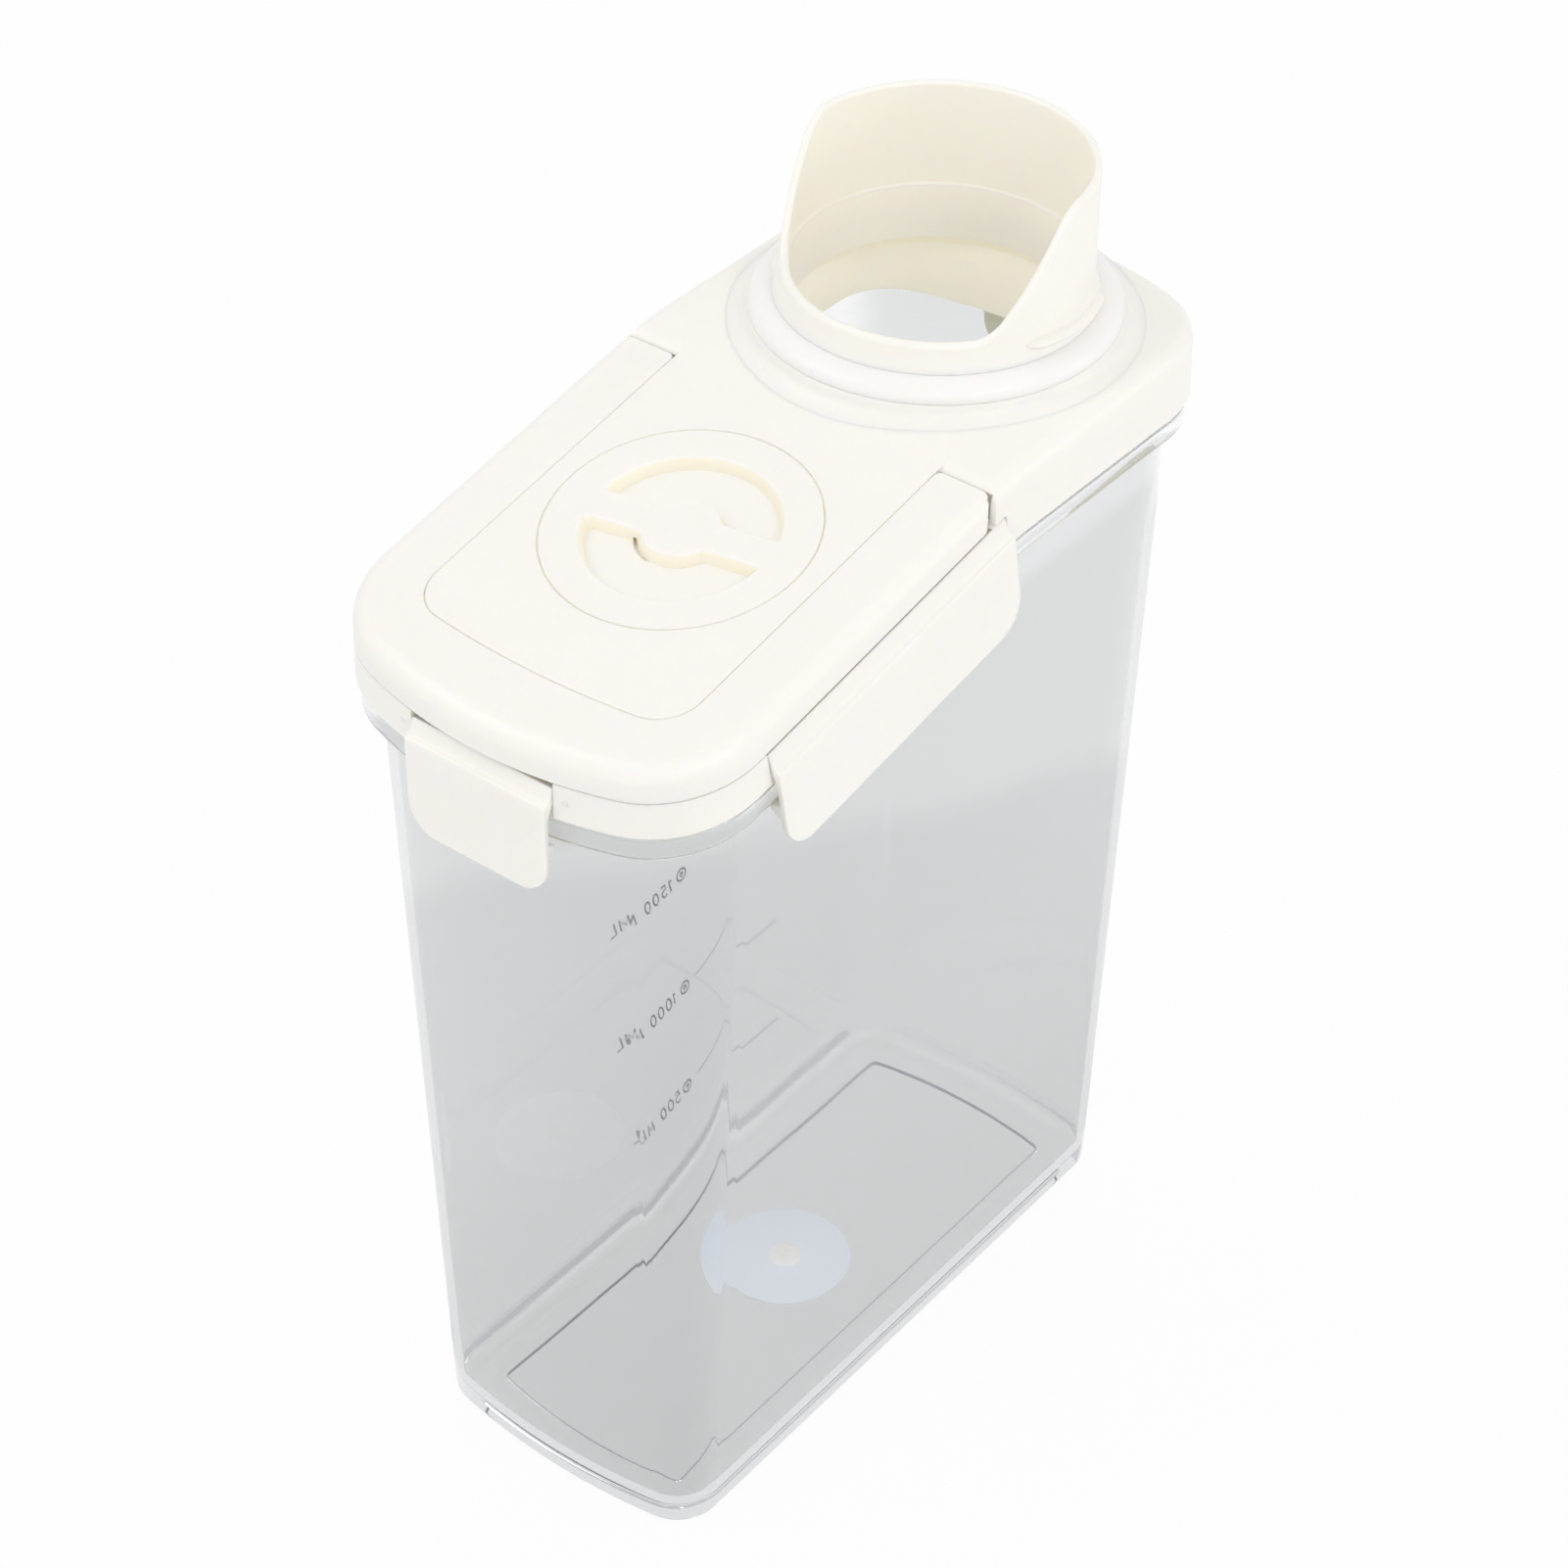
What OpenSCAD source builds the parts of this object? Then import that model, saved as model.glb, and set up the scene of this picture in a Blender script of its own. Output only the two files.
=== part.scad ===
// Cereal container with a slanted spout, a flip-up handle and four side clips.
// Millimetres, +Z up, the spout at the back (+Y), the short front clip at -Y.

/* [Lid] */
// Length of the lid over its bowed ends
lid_l = 208; // [190:1:230]
// Width of the lid at its lower edge
lid_w = 105.4; // [98:0.2:120]
// Corner radius of the lid's outline
lid_corner_r = 25.4; // [20:0.2:32]
// Radius of the bow of the lid's short ends
lid_end_r = 125; // [110:1:200]
// Height of the flat back part of the lid above the table
top_z = 262.5; // [220:0.5:300]
// Slope of the lid's front part, in degrees
slope = 10.4; // [6:0.2:14]
// Where along the lid the slope begins
bend_y = 14.4; // [13:0.2:16]
// Half length of the blend between flat and slope
bend_blend = 6; // [4:0.5:7]
// Depth of the lid's skirt below its top
skirt_h = 17.2; // [16.6:0.1:17.4]
// Radius of the lid's upper edge
edge_r = 4; // [2:0.2:5]
// Thickness of the lid's top panel
panel_t = 2.6; // [2:0.1:3]
// Thickness of the lid's skirt
skirt_t = 2.4; // [2:0.1:2.6]

/* [Container] */
// Length of the container's foot
foot_l = 180.7; // [165:0.5:190]
// Width of the container's foot
foot_w = 81; // [76:0.5:88]
// How far the container's neck stands inside the lid's outline
neck_in = 5.5; // [5.2:0.1:6]
// Height at which the drafted walls meet the straight neck
neck_z = 214; // [200:1:216]
// Wall thickness
wall_t = 2.3; // [2:0.1:2.6]
// Thickness of the floor
floor_t = 3; // [2.5:0.1:4]
// Depth of the panel sunk in the underside
sunk_t = 1.2; // [0.8:0.1:1.5]
// Radius of the round moulding disc in the middle of the floor
disc_r = 17.3; // [12:0.1:24]

/* [Spout] */
// Outer radius of the spout
spout_r = 35.8; // [34:0.1:36]
// Wall of the spout at its lip
spout_wall = 1.9; // [1.5:0.1:2.4]
// Where along the lid the spout stands
spout_y = 54.9; // [54:0.1:56]
// Height of the spout's back wall above the lid
spout_high = 41; // [30:0.5:60]
// Height of the spout's front lip above the lid
spout_low = 14.2; // [13:0.1:18]
// Steepness of the spout's side edges, in degrees
spout_cut = 55; // [45:1:65]
// Height of the raised seat round the spout
seat_h = 3.2; // [2.8:0.1:3.6]
// How far the raised seat and its seal reach outside the spout
seal_w = 7.2; // [6.4:0.1:8]

/* [Handle] */
// Width of the handle's arms, beside the lid's centre panel
arm_w = 16.2; // [15.8:0.1:17]
// Where the handle's front bar begins
panel_front = -86; // [-88:0.2:-84]
// Thickness of the handle
handle_t = 8; // [7:0.1:8.6]
// Where the handle's arms end
handle_end = 6.5; // [6:0.1:7]
// Distance of the pivot from the arms' ends
pivot_in = 4.4; // [4.2:0.1:5]
// Radius of the pivot pins
pivot_r = 2; // [1.5:0.1:2.2]

/* [Desiccant cap] */
// Distance of the cap's centre from the bend, down the slope
cap_s = 51.8; // [50:0.2:54]
// Radius of the cap
cap_r = 31.1; // [30:0.1:31.6]
// Radius of the finger pockets in the cap
pocket_r = 22.5; // [20:0.1:23]
// Depth of the finger pockets
pocket_t = 3.8; // [3:0.1:4]
// Width of the grip bar
bar_w = 10; // [8:0.2:14]
// Radius of the round middle of the grip bar
hub_r = 9.5; // [8:0.1:12]
// Turn of the grip bar, in degrees
bar_turn = 9; // [-30:1:30]

/* [Clips] */
// Length of the two long clips
long_clip = 83.6; // [70:0.2:86]
// Distance of a long clip's middle from the bend, down the slope
long_clip_s = 47.6; // [46:0.2:50]
// Length of the two short clips
short_clip = 39; // [30:0.5:42]
// How far a clip reaches below the lid's top
clip_drop = 37.8; // [34:0.2:42]
// Thickness of a clip's flap
clip_t = 1.8; // [1.5:0.1:2.2]
// Radius of the clips' hinge pins
clip_pin_r = 0.8; // [0.7:0.05:0.9]
// How far a clip's hook reaches under the container's lip
hook_reach = 1.2; // [0.8:0.1:1.5]

/* [Hidden] */
$fn = 96;

cream = "#FAF6EA";
clear_plastic = "#CDD6DC";
silicone = "#F1F0EE";
rod_colour = "#F2EDDF";

gap = 0.2;                  // clearance round pieces that only lie together
run = 0.05;                 // clearance of a pin in its bore
far = 130;                  // beyond the lid in every direction

rebate_t = handle_t + gap;              // depth of the step that the handle lies in
ledge_t = 2.2;                          // plastic under the handle
rim_top = rebate_t + ledge_t + 0.6;     // container's edge, below the lid's top
lip_top = skirt_h + 0.6;                // the rim's lip starts under the skirt
lip_end = lip_top + 5.9;
lip_in = 0.9;                           // lip inside the lid's outline
plug_end = 22.6;                        // the plug reaches this far down
plug_in = 8.4;                          // plug's outer face inside the lid's outline
plug_t = 2;
gasket_top = 18;
gasket_end = 21;
gasket_in = neck_in + wall_t + 0.12;    // gasket's outer face, just inside the wall

panel_w = lid_w - 2 * arm_w;            // centre panel that the handle lies round
arm_x = (lid_w + panel_w) / 4;          // middle of an arm
pivot_y = handle_end - pivot_in;
pivot_z = top_z - tan(slope) * (bend_y - pivot_y) - handle_t / 2 / cos(slope);
pivot_reach = norm([pivot_in + 0.5, handle_t / 2]);    // arms' upper ends turn within this
pocket_end = lid_w / 2 - 1.9;           // the arms' round pockets end inside the skirt
pin_in = 5.5;                           // each handle pin starts this far inside the panel
pin_l = 15.6;
pin_x = panel_w / 2 - pin_in;
block_w = 6;                            // bearing block of a handle pin
block_h = 12;

barrel_r = 2;
hook_h = 2.4;
lug_l = 4;                  // length of each hinge pin's end in the skirt
// A clip: [length, depth of its axis, how far the axis lies inside the lid's outline,
// how far the flap stands outside it, depth of the hook's upper face, upper edge [x, z]]
LONG = [long_clip, 11.6, 1.4, 2.3, lip_end + 0.3, [1, 3.1]];
SHORT = [short_clip, 12.4, 2.8, 1.2, lip_end + 0.8, [0.9, 2.7]];

spout_bore = spout_r - spout_wall;
spout_foot_r = spout_r + 0.3;
seat_r = spout_r + seal_w;
seal_h = 4.3;
seat_z = top_z + seat_h;
lug_angle = -8;             // turn of the spout's cap lugs about its axis

well_r = cap_r + 0.3;       // recess that the cap turns in
well_t = 3.4;
cup_lip_r = 29.5;
cup_r = 27.2;
cup_wall = 1.6;
cup_depth = 21;
cap_plug_r = 24.8;
cap_plug_h = 10;            // the cap's plug reaches this far down
cap_plug_t = 2;
cord_r = 0.7;               // the cap's seal ring
cord_z = 8.2;
vent_w = 1.8;               // slots in the cup's floor
vent_step = 4.6;

// ---- outline, slope and frames ------------------------------------------------

// How far the lid's surface lies below its flat back part, at y
function fall(y) =
    y > bend_y + bend_blend ? 0 :
    y > bend_y - bend_blend ? pow(bend_y + bend_blend - y, 2) / (4 * bend_blend) :
    bend_y - y;
function lid_top(y) = top_z - tan(slope) * fall(y);
bend_steps = [for (k = [-4 : 4]) bend_y + bend_blend * k / 4];

// A quarter of the outline: half of a bowed end, then a rounded corner
function quarter(w, l, r, end_r, n = 9) =
    let (cy = l / 2 - end_r,
         ky = cy + sqrt(pow(end_r - r, 2) - pow(w / 2 - r, 2)),
         turn = atan2(ky - cy, w / 2 - r))
    concat(
        [for (k = [0 : n]) let (a = turn * k / n)
            [w / 2 - r + r * cos(a), ky + r * sin(a)]],
        [for (k = [1 : n]) let (a = turn + (90 - turn) * k / n)
            [end_r * cos(a), cy + end_r * sin(a)]]);
function outline(w, l, r, end_r) =
    let (q = quarter(w, l, r, end_r), m = len(q) - 1)
    concat(
        q,
        [for (k = [m - 1 : -1 : 0]) [-q[k][0], q[k][1]]],
        [for (k = [0 : m]) [-q[k][0], -q[k][1]]],
        [for (k = [m - 1 : -1 : 0]) [q[k][0], -q[k][1]]]);

// Outline of the lid, moved in by d all round
module lid_plan(d = 0) {
    polygon(outline(lid_w - 2 * d, lid_l - 2 * d, lid_corner_r - d, lid_end_r - d));
}

// Outline of the centre panel, moved out by d, open towards the back
module panel_plan(d = 0) {
    panel_len = 2 * -panel_front;
    intersection() {
        polygon(outline(panel_w + 2 * d, panel_len + 2 * d, 10 + d, 240));
        translate([-far, -far]) square([2 * far, far + handle_end + 20]);
    }
}

// Everything from depth d0 to depth d1 below the lid's bent top
module slab(d0, d1) {
    ys = concat([-far], bend_steps, [far]);
    rotate([90, 0, 90]) linear_extrude(2 * far, center = true)
        polygon(concat(
            [for (y = ys) [y, lid_top(y) - d0]],
            [for (k = [len(ys) - 1 : -1 : 0]) [ys[k], lid_top(ys[k]) - d1]]));
}

module tall() {
    translate([0, 0, top_z - 120]) linear_extrude(180) children();
}

module band(d0, d1) {
    intersection() {
        tall() children();
        slab(d0, d1);
    }
}

// Frame on the slope: x across, y up the slope from the bend, z out of the lid
module on_slope(s = 0) {
    translate([0, bend_y, top_z]) rotate([slope, 0, 0]) translate([0, -s, 0]) children();
}

// Solid of the lid's outside, with its rounded upper edge
module lid_solid() {
    intersection() {
        hull() {
            for (a = [0 : 22.5 : 90])
                band(edge_r * (1 - sin(a)), edge_r * (1 - sin(a)) + 0.01)
                    lid_plan(0.3 + edge_r * (1 - cos(a)));
            band(skirt_h, skirt_h + 0.01) lid_plan();
        }
        slab(-1, skirt_h);
    }
}

// ---- container -----------------------------------------------------------------

module foot_plan(d = 0) {
    polygon(outline(foot_w - 2 * d, foot_l - 2 * d, 12 - d, 182 - d));
}

module slice(z) {
    translate([0, 0, z]) linear_extrude(0.01) children();
}

module body_solid(d, floor_z, fillet) {
    hull() {
        slice(floor_z) foot_plan(d + fillet);
        slice(floor_z + fillet * 0.29) foot_plan(d + fillet * 0.29);
        slice(floor_z + fillet) foot_plan(d);
        slice(neck_z) lid_plan(neck_in + d);
        slice(top_z - 5) lid_plan(neck_in + d + 0.06);
    }
}

module container() {
    color(clear_plastic) {
        difference() {
            body_solid(0, 0, 3);
            body_solid(wall_t, floor_t, 8);
            slab(-20, rim_top);
            translate([0, 0, -1]) linear_extrude(1 + sunk_t)
                polygon(outline(56.3, 156.6, 0.8, 132));
        }
        // rim: a web out to the lip that the clips hook under
        difference() {
            band(lip_top, lip_top + 2) lid_plan(lip_in);
            tall() lid_plan(neck_in + wall_t / 2);
        }
        difference() {
            band(lip_top, lip_end) lid_plan(lip_in);
            tall() lid_plan(lip_in + 1.8);
        }
        translate([0, 0, floor_t - 0.2]) cylinder(r = disc_r, h = 0.8);
        translate([0, 0, floor_t]) cylinder(r = 4, h = 1);
    }
}

// ---- lid -----------------------------------------------------------------------

module handle_room(d) {
    // what the handle takes out of the lid, d larger all round
    difference() {
        band(-1, rebate_t - gap + d) {
            difference() {
                translate([-far, -far]) square([2 * far, far + handle_end + d]);
                panel_plan(-d + gap);
            }
        }
    }
}

// Frames of the clips: x out of the lid, y along the clip, z up from the hinge axis
module long_clip_frame(side) {
    on_slope(long_clip_s) translate([side * (lid_w / 2 - LONG[2]), 0, -LONG[1]])
        rotate([0, 0, side < 0 ? 180 : 0]) children();
}

module short_clip_frame(side) {
    y = side * (lid_l / 2 - SHORT[2]);
    translate([0, y, lid_top(y) - SHORT[1]]) rotate([0, 0, side * 90]) children();
}

// Room in the skirt for a clip's hinge, raised to take a piece out of the ledge too
module clip_slot(c, up = 0) {
    top = c[1] - rebate_t;
    back = top + 0.3;
    translate([far / 2 - back, 0, top + up - far / 2]) cube([far, c[0] + 0.6, far], center = true);
}

module pin_lugs(c) {
    for (end = [-1, 1])
        translate([0.2, end * (c[0] / 2 + 0.3 + lug_l / 2), -0.6])
            cube([4.6, lug_l, 5.2], center = true);
}

module clip_pin(c) {
    rotate([90, 0, 0])
        cylinder(r = clip_pin_r, h = c[0] + 2 * lug_l - 0.4, center = true, $fn = 32);
}

module lid() {
    color(cream) difference() {
        union() {
            difference() {
                lid_solid();
                // hollow below the ledge, the centre panel and the back
                band(rebate_t + ledge_t, far) lid_plan(skirt_t);
                band(panel_t, far) panel_plan(-skirt_t);
                band(panel_t, far) intersection() {
                    lid_plan(skirt_t);
                    translate([-far, 11.2]) square(2 * far);
                }
                intersection() {
                    handle_room(gap);
                    slab(-2, far);
                }
            }
            // plug wall that centres the lid in the container
            difference() {
                band(rebate_t, plug_end) lid_plan(plug_in);
                tall() lid_plan(plug_in + plug_t);
            }
            difference() {
                band(panel_t - 0.5, rebate_t + 1) intersection() {
                    lid_plan(plug_in);
                    translate([-far, 11.2]) square(2 * far);
                }
                tall() lid_plan(plug_in + plug_t);
            }
            // well for the desiccant cap and its cup
            on_slope(cap_s) translate([0, 0, -7.2]) cylinder(r = well_r + 3.2, h = 5.4);
            on_slope(cap_s) translate([0, 0, -15]) cylinder(r = cup_r + 2.4, h = 12);
            // raised seat round the spout
            translate([0, spout_y, top_z - panel_t])
                cylinder(r = seat_r, h = panel_t + seat_h);
            // inside lugs that hold the clips' pins
            intersection() {
                union() for (side = [-1, 1]) {
                    long_clip_frame(side) pin_lugs(LONG);
                    short_clip_frame(side) pin_lugs(SHORT);
                }
                band(9, skirt_h) lid_plan(1);
            }
            // bearing blocks for the handle's pins, inside the centre panel's walls
            for (side = [-1, 1])
                intersection() {
                    translate([side * (panel_w / 2 - block_w / 2), pivot_y, pivot_z])
                        cube([block_w, block_h - 2, block_h], center = true);
                    band(panel_t / 2, block_h + 2) lid_plan(plug_in);
                }
        }
        // groove for the gasket round the plug
        difference() {
            band(gasket_top, gasket_end) lid_plan(plug_in - 1);
            tall() lid_plan(plug_in + 1);
        }
        // arms turn in round pockets
        intersection() {
            for (side = [-1, 1])
                translate([side * (panel_w / 2 + gap), pivot_y, pivot_z]) rotate([0, side * 90, 0])
                    cylinder(r = pivot_reach + gap, h = pocket_end - panel_w / 2 - gap);
            slab(-5, rebate_t + 1.4);
        }
        for (side = [-1, 1]) {
            translate([side * (pin_x - 1), pivot_y, pivot_z]) rotate([0, side * 90, 0])
                cylinder(r = pivot_r, h = pin_in + 4.5);
            long_clip_frame(side) {
                clip_slot(LONG);
                clip_pin(LONG);
            }
            short_clip_frame(side) {
                clip_slot(SHORT);
                clip_pin(SHORT);
            }
        }
        intersection() {
            union() {
                for (side = [-1, 1]) long_clip_frame(side) clip_slot(LONG, 1.5);
                short_clip_frame(-1) clip_slot(SHORT, 1.5);
            }
            translate([-far, -far, 0]) cube([2 * far, far + handle_end - 1, 2 * far]);
            slab(rebate_t - 0.5, 60);
        }
        // rolled edge behind the handle's arms
        handle_end_roll();
        on_slope(cap_s) {
            translate([0, 0, -well_t]) cylinder(r = well_r, h = well_t + 5);
            translate([0, 0, -well_t - 1.4]) cylinder(r = cup_lip_r + gap, h = 6);
            translate([0, 0, -40]) cylinder(r = cup_r + gap, h = 60);
        }
        translate([0, spout_y, top_z - 20]) cylinder(r = spout_foot_r, h = 60);
        translate([0, spout_y, top_z - panel_t - 0.5])
            cylinder(r = seat_r - 4.4, h = seat_h + 0.5);
    }
}

// The back part's edge rolls down to the arms' ends
module handle_end_roll() {
    r = 4.5;
    y0 = handle_end + gap;
    w = 1.8 * arm_w;
    for (side = [-1, 1])
        intersection() {
            translate([side * (panel_w / 2 + gap + w / 2), 0, 0]) rotate([90, 0, 90])
                linear_extrude(w, center = true) difference() {
                    translate([y0 - 2, lid_top(y0) - r]) square([r + 2, r + 3]);
                    translate([y0 + r, lid_top(y0 + r) - r]) circle(r = r);
                }
            slab(-5, rebate_t);
        }
}

module lid_gasket() {
    color(silicone) difference() {
        band(gasket_top, gasket_end) lid_plan(gasket_in);
        tall() lid_plan(plug_in + 1);
    }
}

// ---- spout ---------------------------------------------------------------------

// Side view of what stays of the spout above its low front lip, y from its axis
module spout_side() {
    low = seat_z + spout_low - seat_h;
    high = top_z + spout_high;
    run_y = (high - low) / tan(spout_cut);
    foot = -19;
    polygon([
        [-far, seat_z - far], [-far, low], [foot - 5, low],
        [foot - 2, low + 0.7], [foot, low + 2.6],
        [foot + run_y - 2, high - 3.4], [foot + run_y + 1, high - 0.8],
        [foot + run_y + 4.5, high], [far, high], [far, seat_z - far]
    ]);
}

module spout() {
    low = seat_z + spout_low - seat_h;
    foot_z = seat_z - seat_h;
    shelf = seat_z + seal_h;
    color(cream) translate([0, spout_y, 0]) {
        intersection() {
            rotate_extrude() polygon([
                [spout_bore - 0.6, foot_z + 0.6], [spout_foot_r, foot_z + 0.6],
                [spout_foot_r, shelf], [spout_r + 1.7, shelf], [spout_r + 1.7, shelf + 0.8],
                [spout_r + 0.8, shelf + 2.4], [spout_r + 0.2, shelf + 4.6], [spout_r, shelf + 7],
                [spout_r, top_z + far], [spout_bore, top_z + far], [spout_bore, low + 1],
                [spout_bore - 0.6, low]
            ]);
            rotate([90, 0, 90]) linear_extrude(2 * far, center = true) spout_side();
        }
        // two lugs that a cap turns under
        for (turn = [0, 180])
            rotate(lug_angle + turn - 24)
                translate([0, 0, shelf + 2.2])
                    rotate_extrude(angle = 48)
                        translate([spout_r - 1, 0]) square([2.9, 1.5]);
    }
}

module spout_seal() {
    r0 = spout_foot_r + run;
    r1 = seat_r;
    color(silicone) translate([0, spout_y, seat_z]) rotate_extrude()
        polygon(concat(
            [[r0, 0], [r1 - 0.3, 0]],
            [for (a = [0 : 15 : 90]) [r1 - 4 + 4 * cos(a), 0.5 + (seal_h - run - 0.5) * sin(a)]],
            [[r0, seal_h - run]]));
}

// ---- handle --------------------------------------------------------------------

// Everything in front of the arms' ends, whose outer corners are round
module arm_plan() {
    r = 4;
    half = lid_w / 2 - 0.3;
    translate([-far, -far]) square([2 * far, far + handle_end - r]);
    translate([r - half, 0]) square([2 * (half - r), handle_end]);
    for (side = [-1, 1]) translate([side * (half - r), handle_end - r]) circle(r = r);
}

module handle() {
    color(cream) difference() {
        union() {
            intersection() {
                lid_solid();
                band(-1, handle_t) difference() {
                    arm_plan();
                    panel_plan(2 * gap);
                }
            }
        }
        // hollow underside, solid at the arms' ends
        band(2.2, 20) difference() {
            intersection() {
                lid_plan(2.6);
                translate([-far, -far]) square([2 * far, far - 6]);
            }
            panel_plan(2 * gap + 2.2);
        }
        // arms' ends are round about the pivot, most of all outside their pockets
        for (side = [-1, 1])
            translate([side * (pocket_end - 0.3 + 10), pivot_y, pivot_z])
                difference() {
                    translate([-10, 0, -12]) cube([20, 12, 24]);
                    rotate([0, 90, 0]) cylinder(r = pivot_in + 0.02, h = 2 * far, center = true);
                }
        for (side = [-1, 1])
            translate([side * arm_x, pivot_y, pivot_z]) rotate([slope, 0, 0]) {
                difference() {
                    translate([-arm_w * 0.75, 0, -handle_t]) cube([arm_w * 1.5, handle_t + 4, handle_t]);
                    rotate([0, 90, 0]) cylinder(r = pivot_in + 0.02, h = 2 * far, center = true);
                }
                difference() {
                    translate([-arm_w * 0.75, 0, 0]) cube([arm_w * 1.5, handle_t + 4, handle_t]);
                    rotate([0, 90, 0]) cylinder(r = pivot_reach, h = 2 * far, center = true);
                }
            }
        for (side = [-1, 1])
            translate([side * (pin_x - 1), pivot_y, pivot_z]) rotate([0, side * 90, 0])
                cylinder(r = pivot_r + run, h = pin_l + 1.4);
    }
}

module handle_pin(side) {
    color(rod_colour) translate([side * pin_x, pivot_y, pivot_z]) rotate([0, side * 90, 0])
        cylinder(r = pivot_r, h = pin_l);
}

module handle_pin_left() handle_pin(-1);
module handle_pin_right() handle_pin(1);

// ---- desiccant cap -------------------------------------------------------------

module desiccant_cap() {
    color(cream) on_slope(cap_s) {
        difference() {
            union() {
                translate([0, 0, -well_t + run]) cylinder(r = cap_r, h = well_t - run);
                translate([0, 0, -cap_plug_h]) cylinder(r = cap_plug_r, h = cap_plug_h - 2);
            }
            translate([0, 0, -pocket_t]) cylinder(r = pocket_r, h = far);
            translate([0, 0, -far]) cylinder(r = cap_plug_r - cap_plug_t, h = far - pocket_t - cup_wall);
            translate([0, 0, -cord_z - cord_r]) difference() {
                cylinder(r = cap_plug_r + cap_plug_t, h = 2 * cord_r);
                cylinder(r = cap_plug_r + run - cord_r, h = 2 * cord_r);
            }
        }
        rotate(bar_turn) {
            intersection() {
                translate([-far, -bar_w / 2, -pocket_t - 1]) cube([2 * far, bar_w, pocket_t + 1]);
                translate([0, 0, -far]) cylinder(r = pocket_r + 1, h = 2 * far);
            }
            translate([0, 0, -pocket_t - 1]) cylinder(r = hub_r, h = pocket_t + 1);
        }
    }
}

module desiccant_seal() {
    color(silicone) on_slope(cap_s) translate([0, 0, -cord_z]) rotate_extrude()
        translate([cap_plug_r + run, 0]) circle(r = cord_r, $fn = 24);
}

module desiccant_cup() {
    color(cream) on_slope(cap_s) difference() {
        union() {
            translate([0, 0, -well_t - 1.4]) cylinder(r = cup_lip_r, h = 1.4);
            translate([0, 0, -well_t - cup_depth]) cylinder(r = cup_r, h = cup_depth);
        }
        translate([0, 0, -well_t - cup_depth + cup_wall]) cylinder(r = cup_r - cup_wall, h = far);
        // vent slots in the floor
        for (k = [-4 : 4]) {
            l = 1.25 * cup_r - 0.65 * vent_step * abs(k);
            translate([-l / 2, k * vent_step - vent_w / 2, -far])
                cube([l, vent_w, far - well_t - cup_depth + 2 * cup_wall]);
        }
    }
}

// ---- clips ---------------------------------------------------------------------

// Section of a clip's flap: x out of the lid, y up, the origin on the hinge axis
module flap_section(c) {
    out = c[2] + c[3];
    inner = out - clip_t;
    bottom = c[1] - clip_drop;
    brow = c[5];
    polygon([
        [-0.4, 1.2], brow - [0.4, 0.1], brow, brow + [0.3, -0.3],
        [out - 0.35, c[1] - 13], [out, c[1] - 13.9],
        [out, bottom + 0.6], [out - 0.6, bottom], [inner + 0.4, bottom],
        [inner, bottom + 0.5], [inner, -4], [-0.4, -1.2]
    ]);
}

// Section of the hook that catches under the container's lip
module hook_section(c) {
    inner = c[2] + c[3] - clip_t;
    hook = c[1] - c[4];
    tip = c[2] - lip_in - hook_reach;
    polygon([
        [inner + 0.4, hook], [inner + 0.4, hook - hook_h - 1.4],
        [tip, hook - hook_h + 0.9], [tip, hook - 0.3], [tip + 0.3, hook]
    ]);
}

module along_clip(c) {
    rotate([90, 0, 0]) linear_extrude(c[0], center = true) children();
}

module clip(c) {
    corner = 8;
    bottom = c[1] - clip_drop;
    color(cream) difference() {
        intersection() {
            union() {
                rotate([90, 0, 0]) cylinder(r = barrel_r, h = c[0], center = true, $fn = 48);
                along_clip(c) flap_section(c);
                along_clip(c) hook_section(c);
            }
            union() {
                translate([-far, -c[0] / 2, bottom + corner]) cube([2 * far, c[0], far]);
                translate([-far, corner - c[0] / 2, bottom])
                    cube([2 * far, c[0] - 2 * corner, 2 * corner]);
                for (end = [-1, 1])
                    translate([0, end * (c[0] / 2 - corner), bottom + corner])
                        rotate([0, 90, 0]) cylinder(r = corner, h = 2 * far, center = true);
            }
        }
        rotate([90, 0, 0])
            cylinder(r = clip_pin_r + run, h = c[0] + 1, center = true, $fn = 32);
    }
}

module clip_left() long_clip_frame(-1) clip(LONG);
module clip_right() long_clip_frame(1) clip(LONG);
module clip_front() short_clip_frame(-1) clip(SHORT);
module clip_back() short_clip_frame(1) clip(SHORT);

module clip_pin_left() color(rod_colour) long_clip_frame(-1) clip_pin(LONG);
module clip_pin_right() color(rod_colour) long_clip_frame(1) clip_pin(LONG);
module clip_pin_front() color(rod_colour) short_clip_frame(-1) clip_pin(SHORT);
module clip_pin_back() color(rod_colour) short_clip_frame(1) clip_pin(SHORT);

container();
lid();
lid_gasket();
spout();
spout_seal();
handle();
handle_pin_left();
handle_pin_right();
desiccant_cap();
desiccant_seal();
desiccant_cup();
clip_left();
clip_right();
clip_front();
clip_back();
clip_pin_left();
clip_pin_right();
clip_pin_front();
clip_pin_back();
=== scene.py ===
"""Looks of the cereal container: every visible piece, its material, the light and the camera."""
import bpy
import bmesh
import math
import numpy as np
from mathutils import Matrix, Vector


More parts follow.
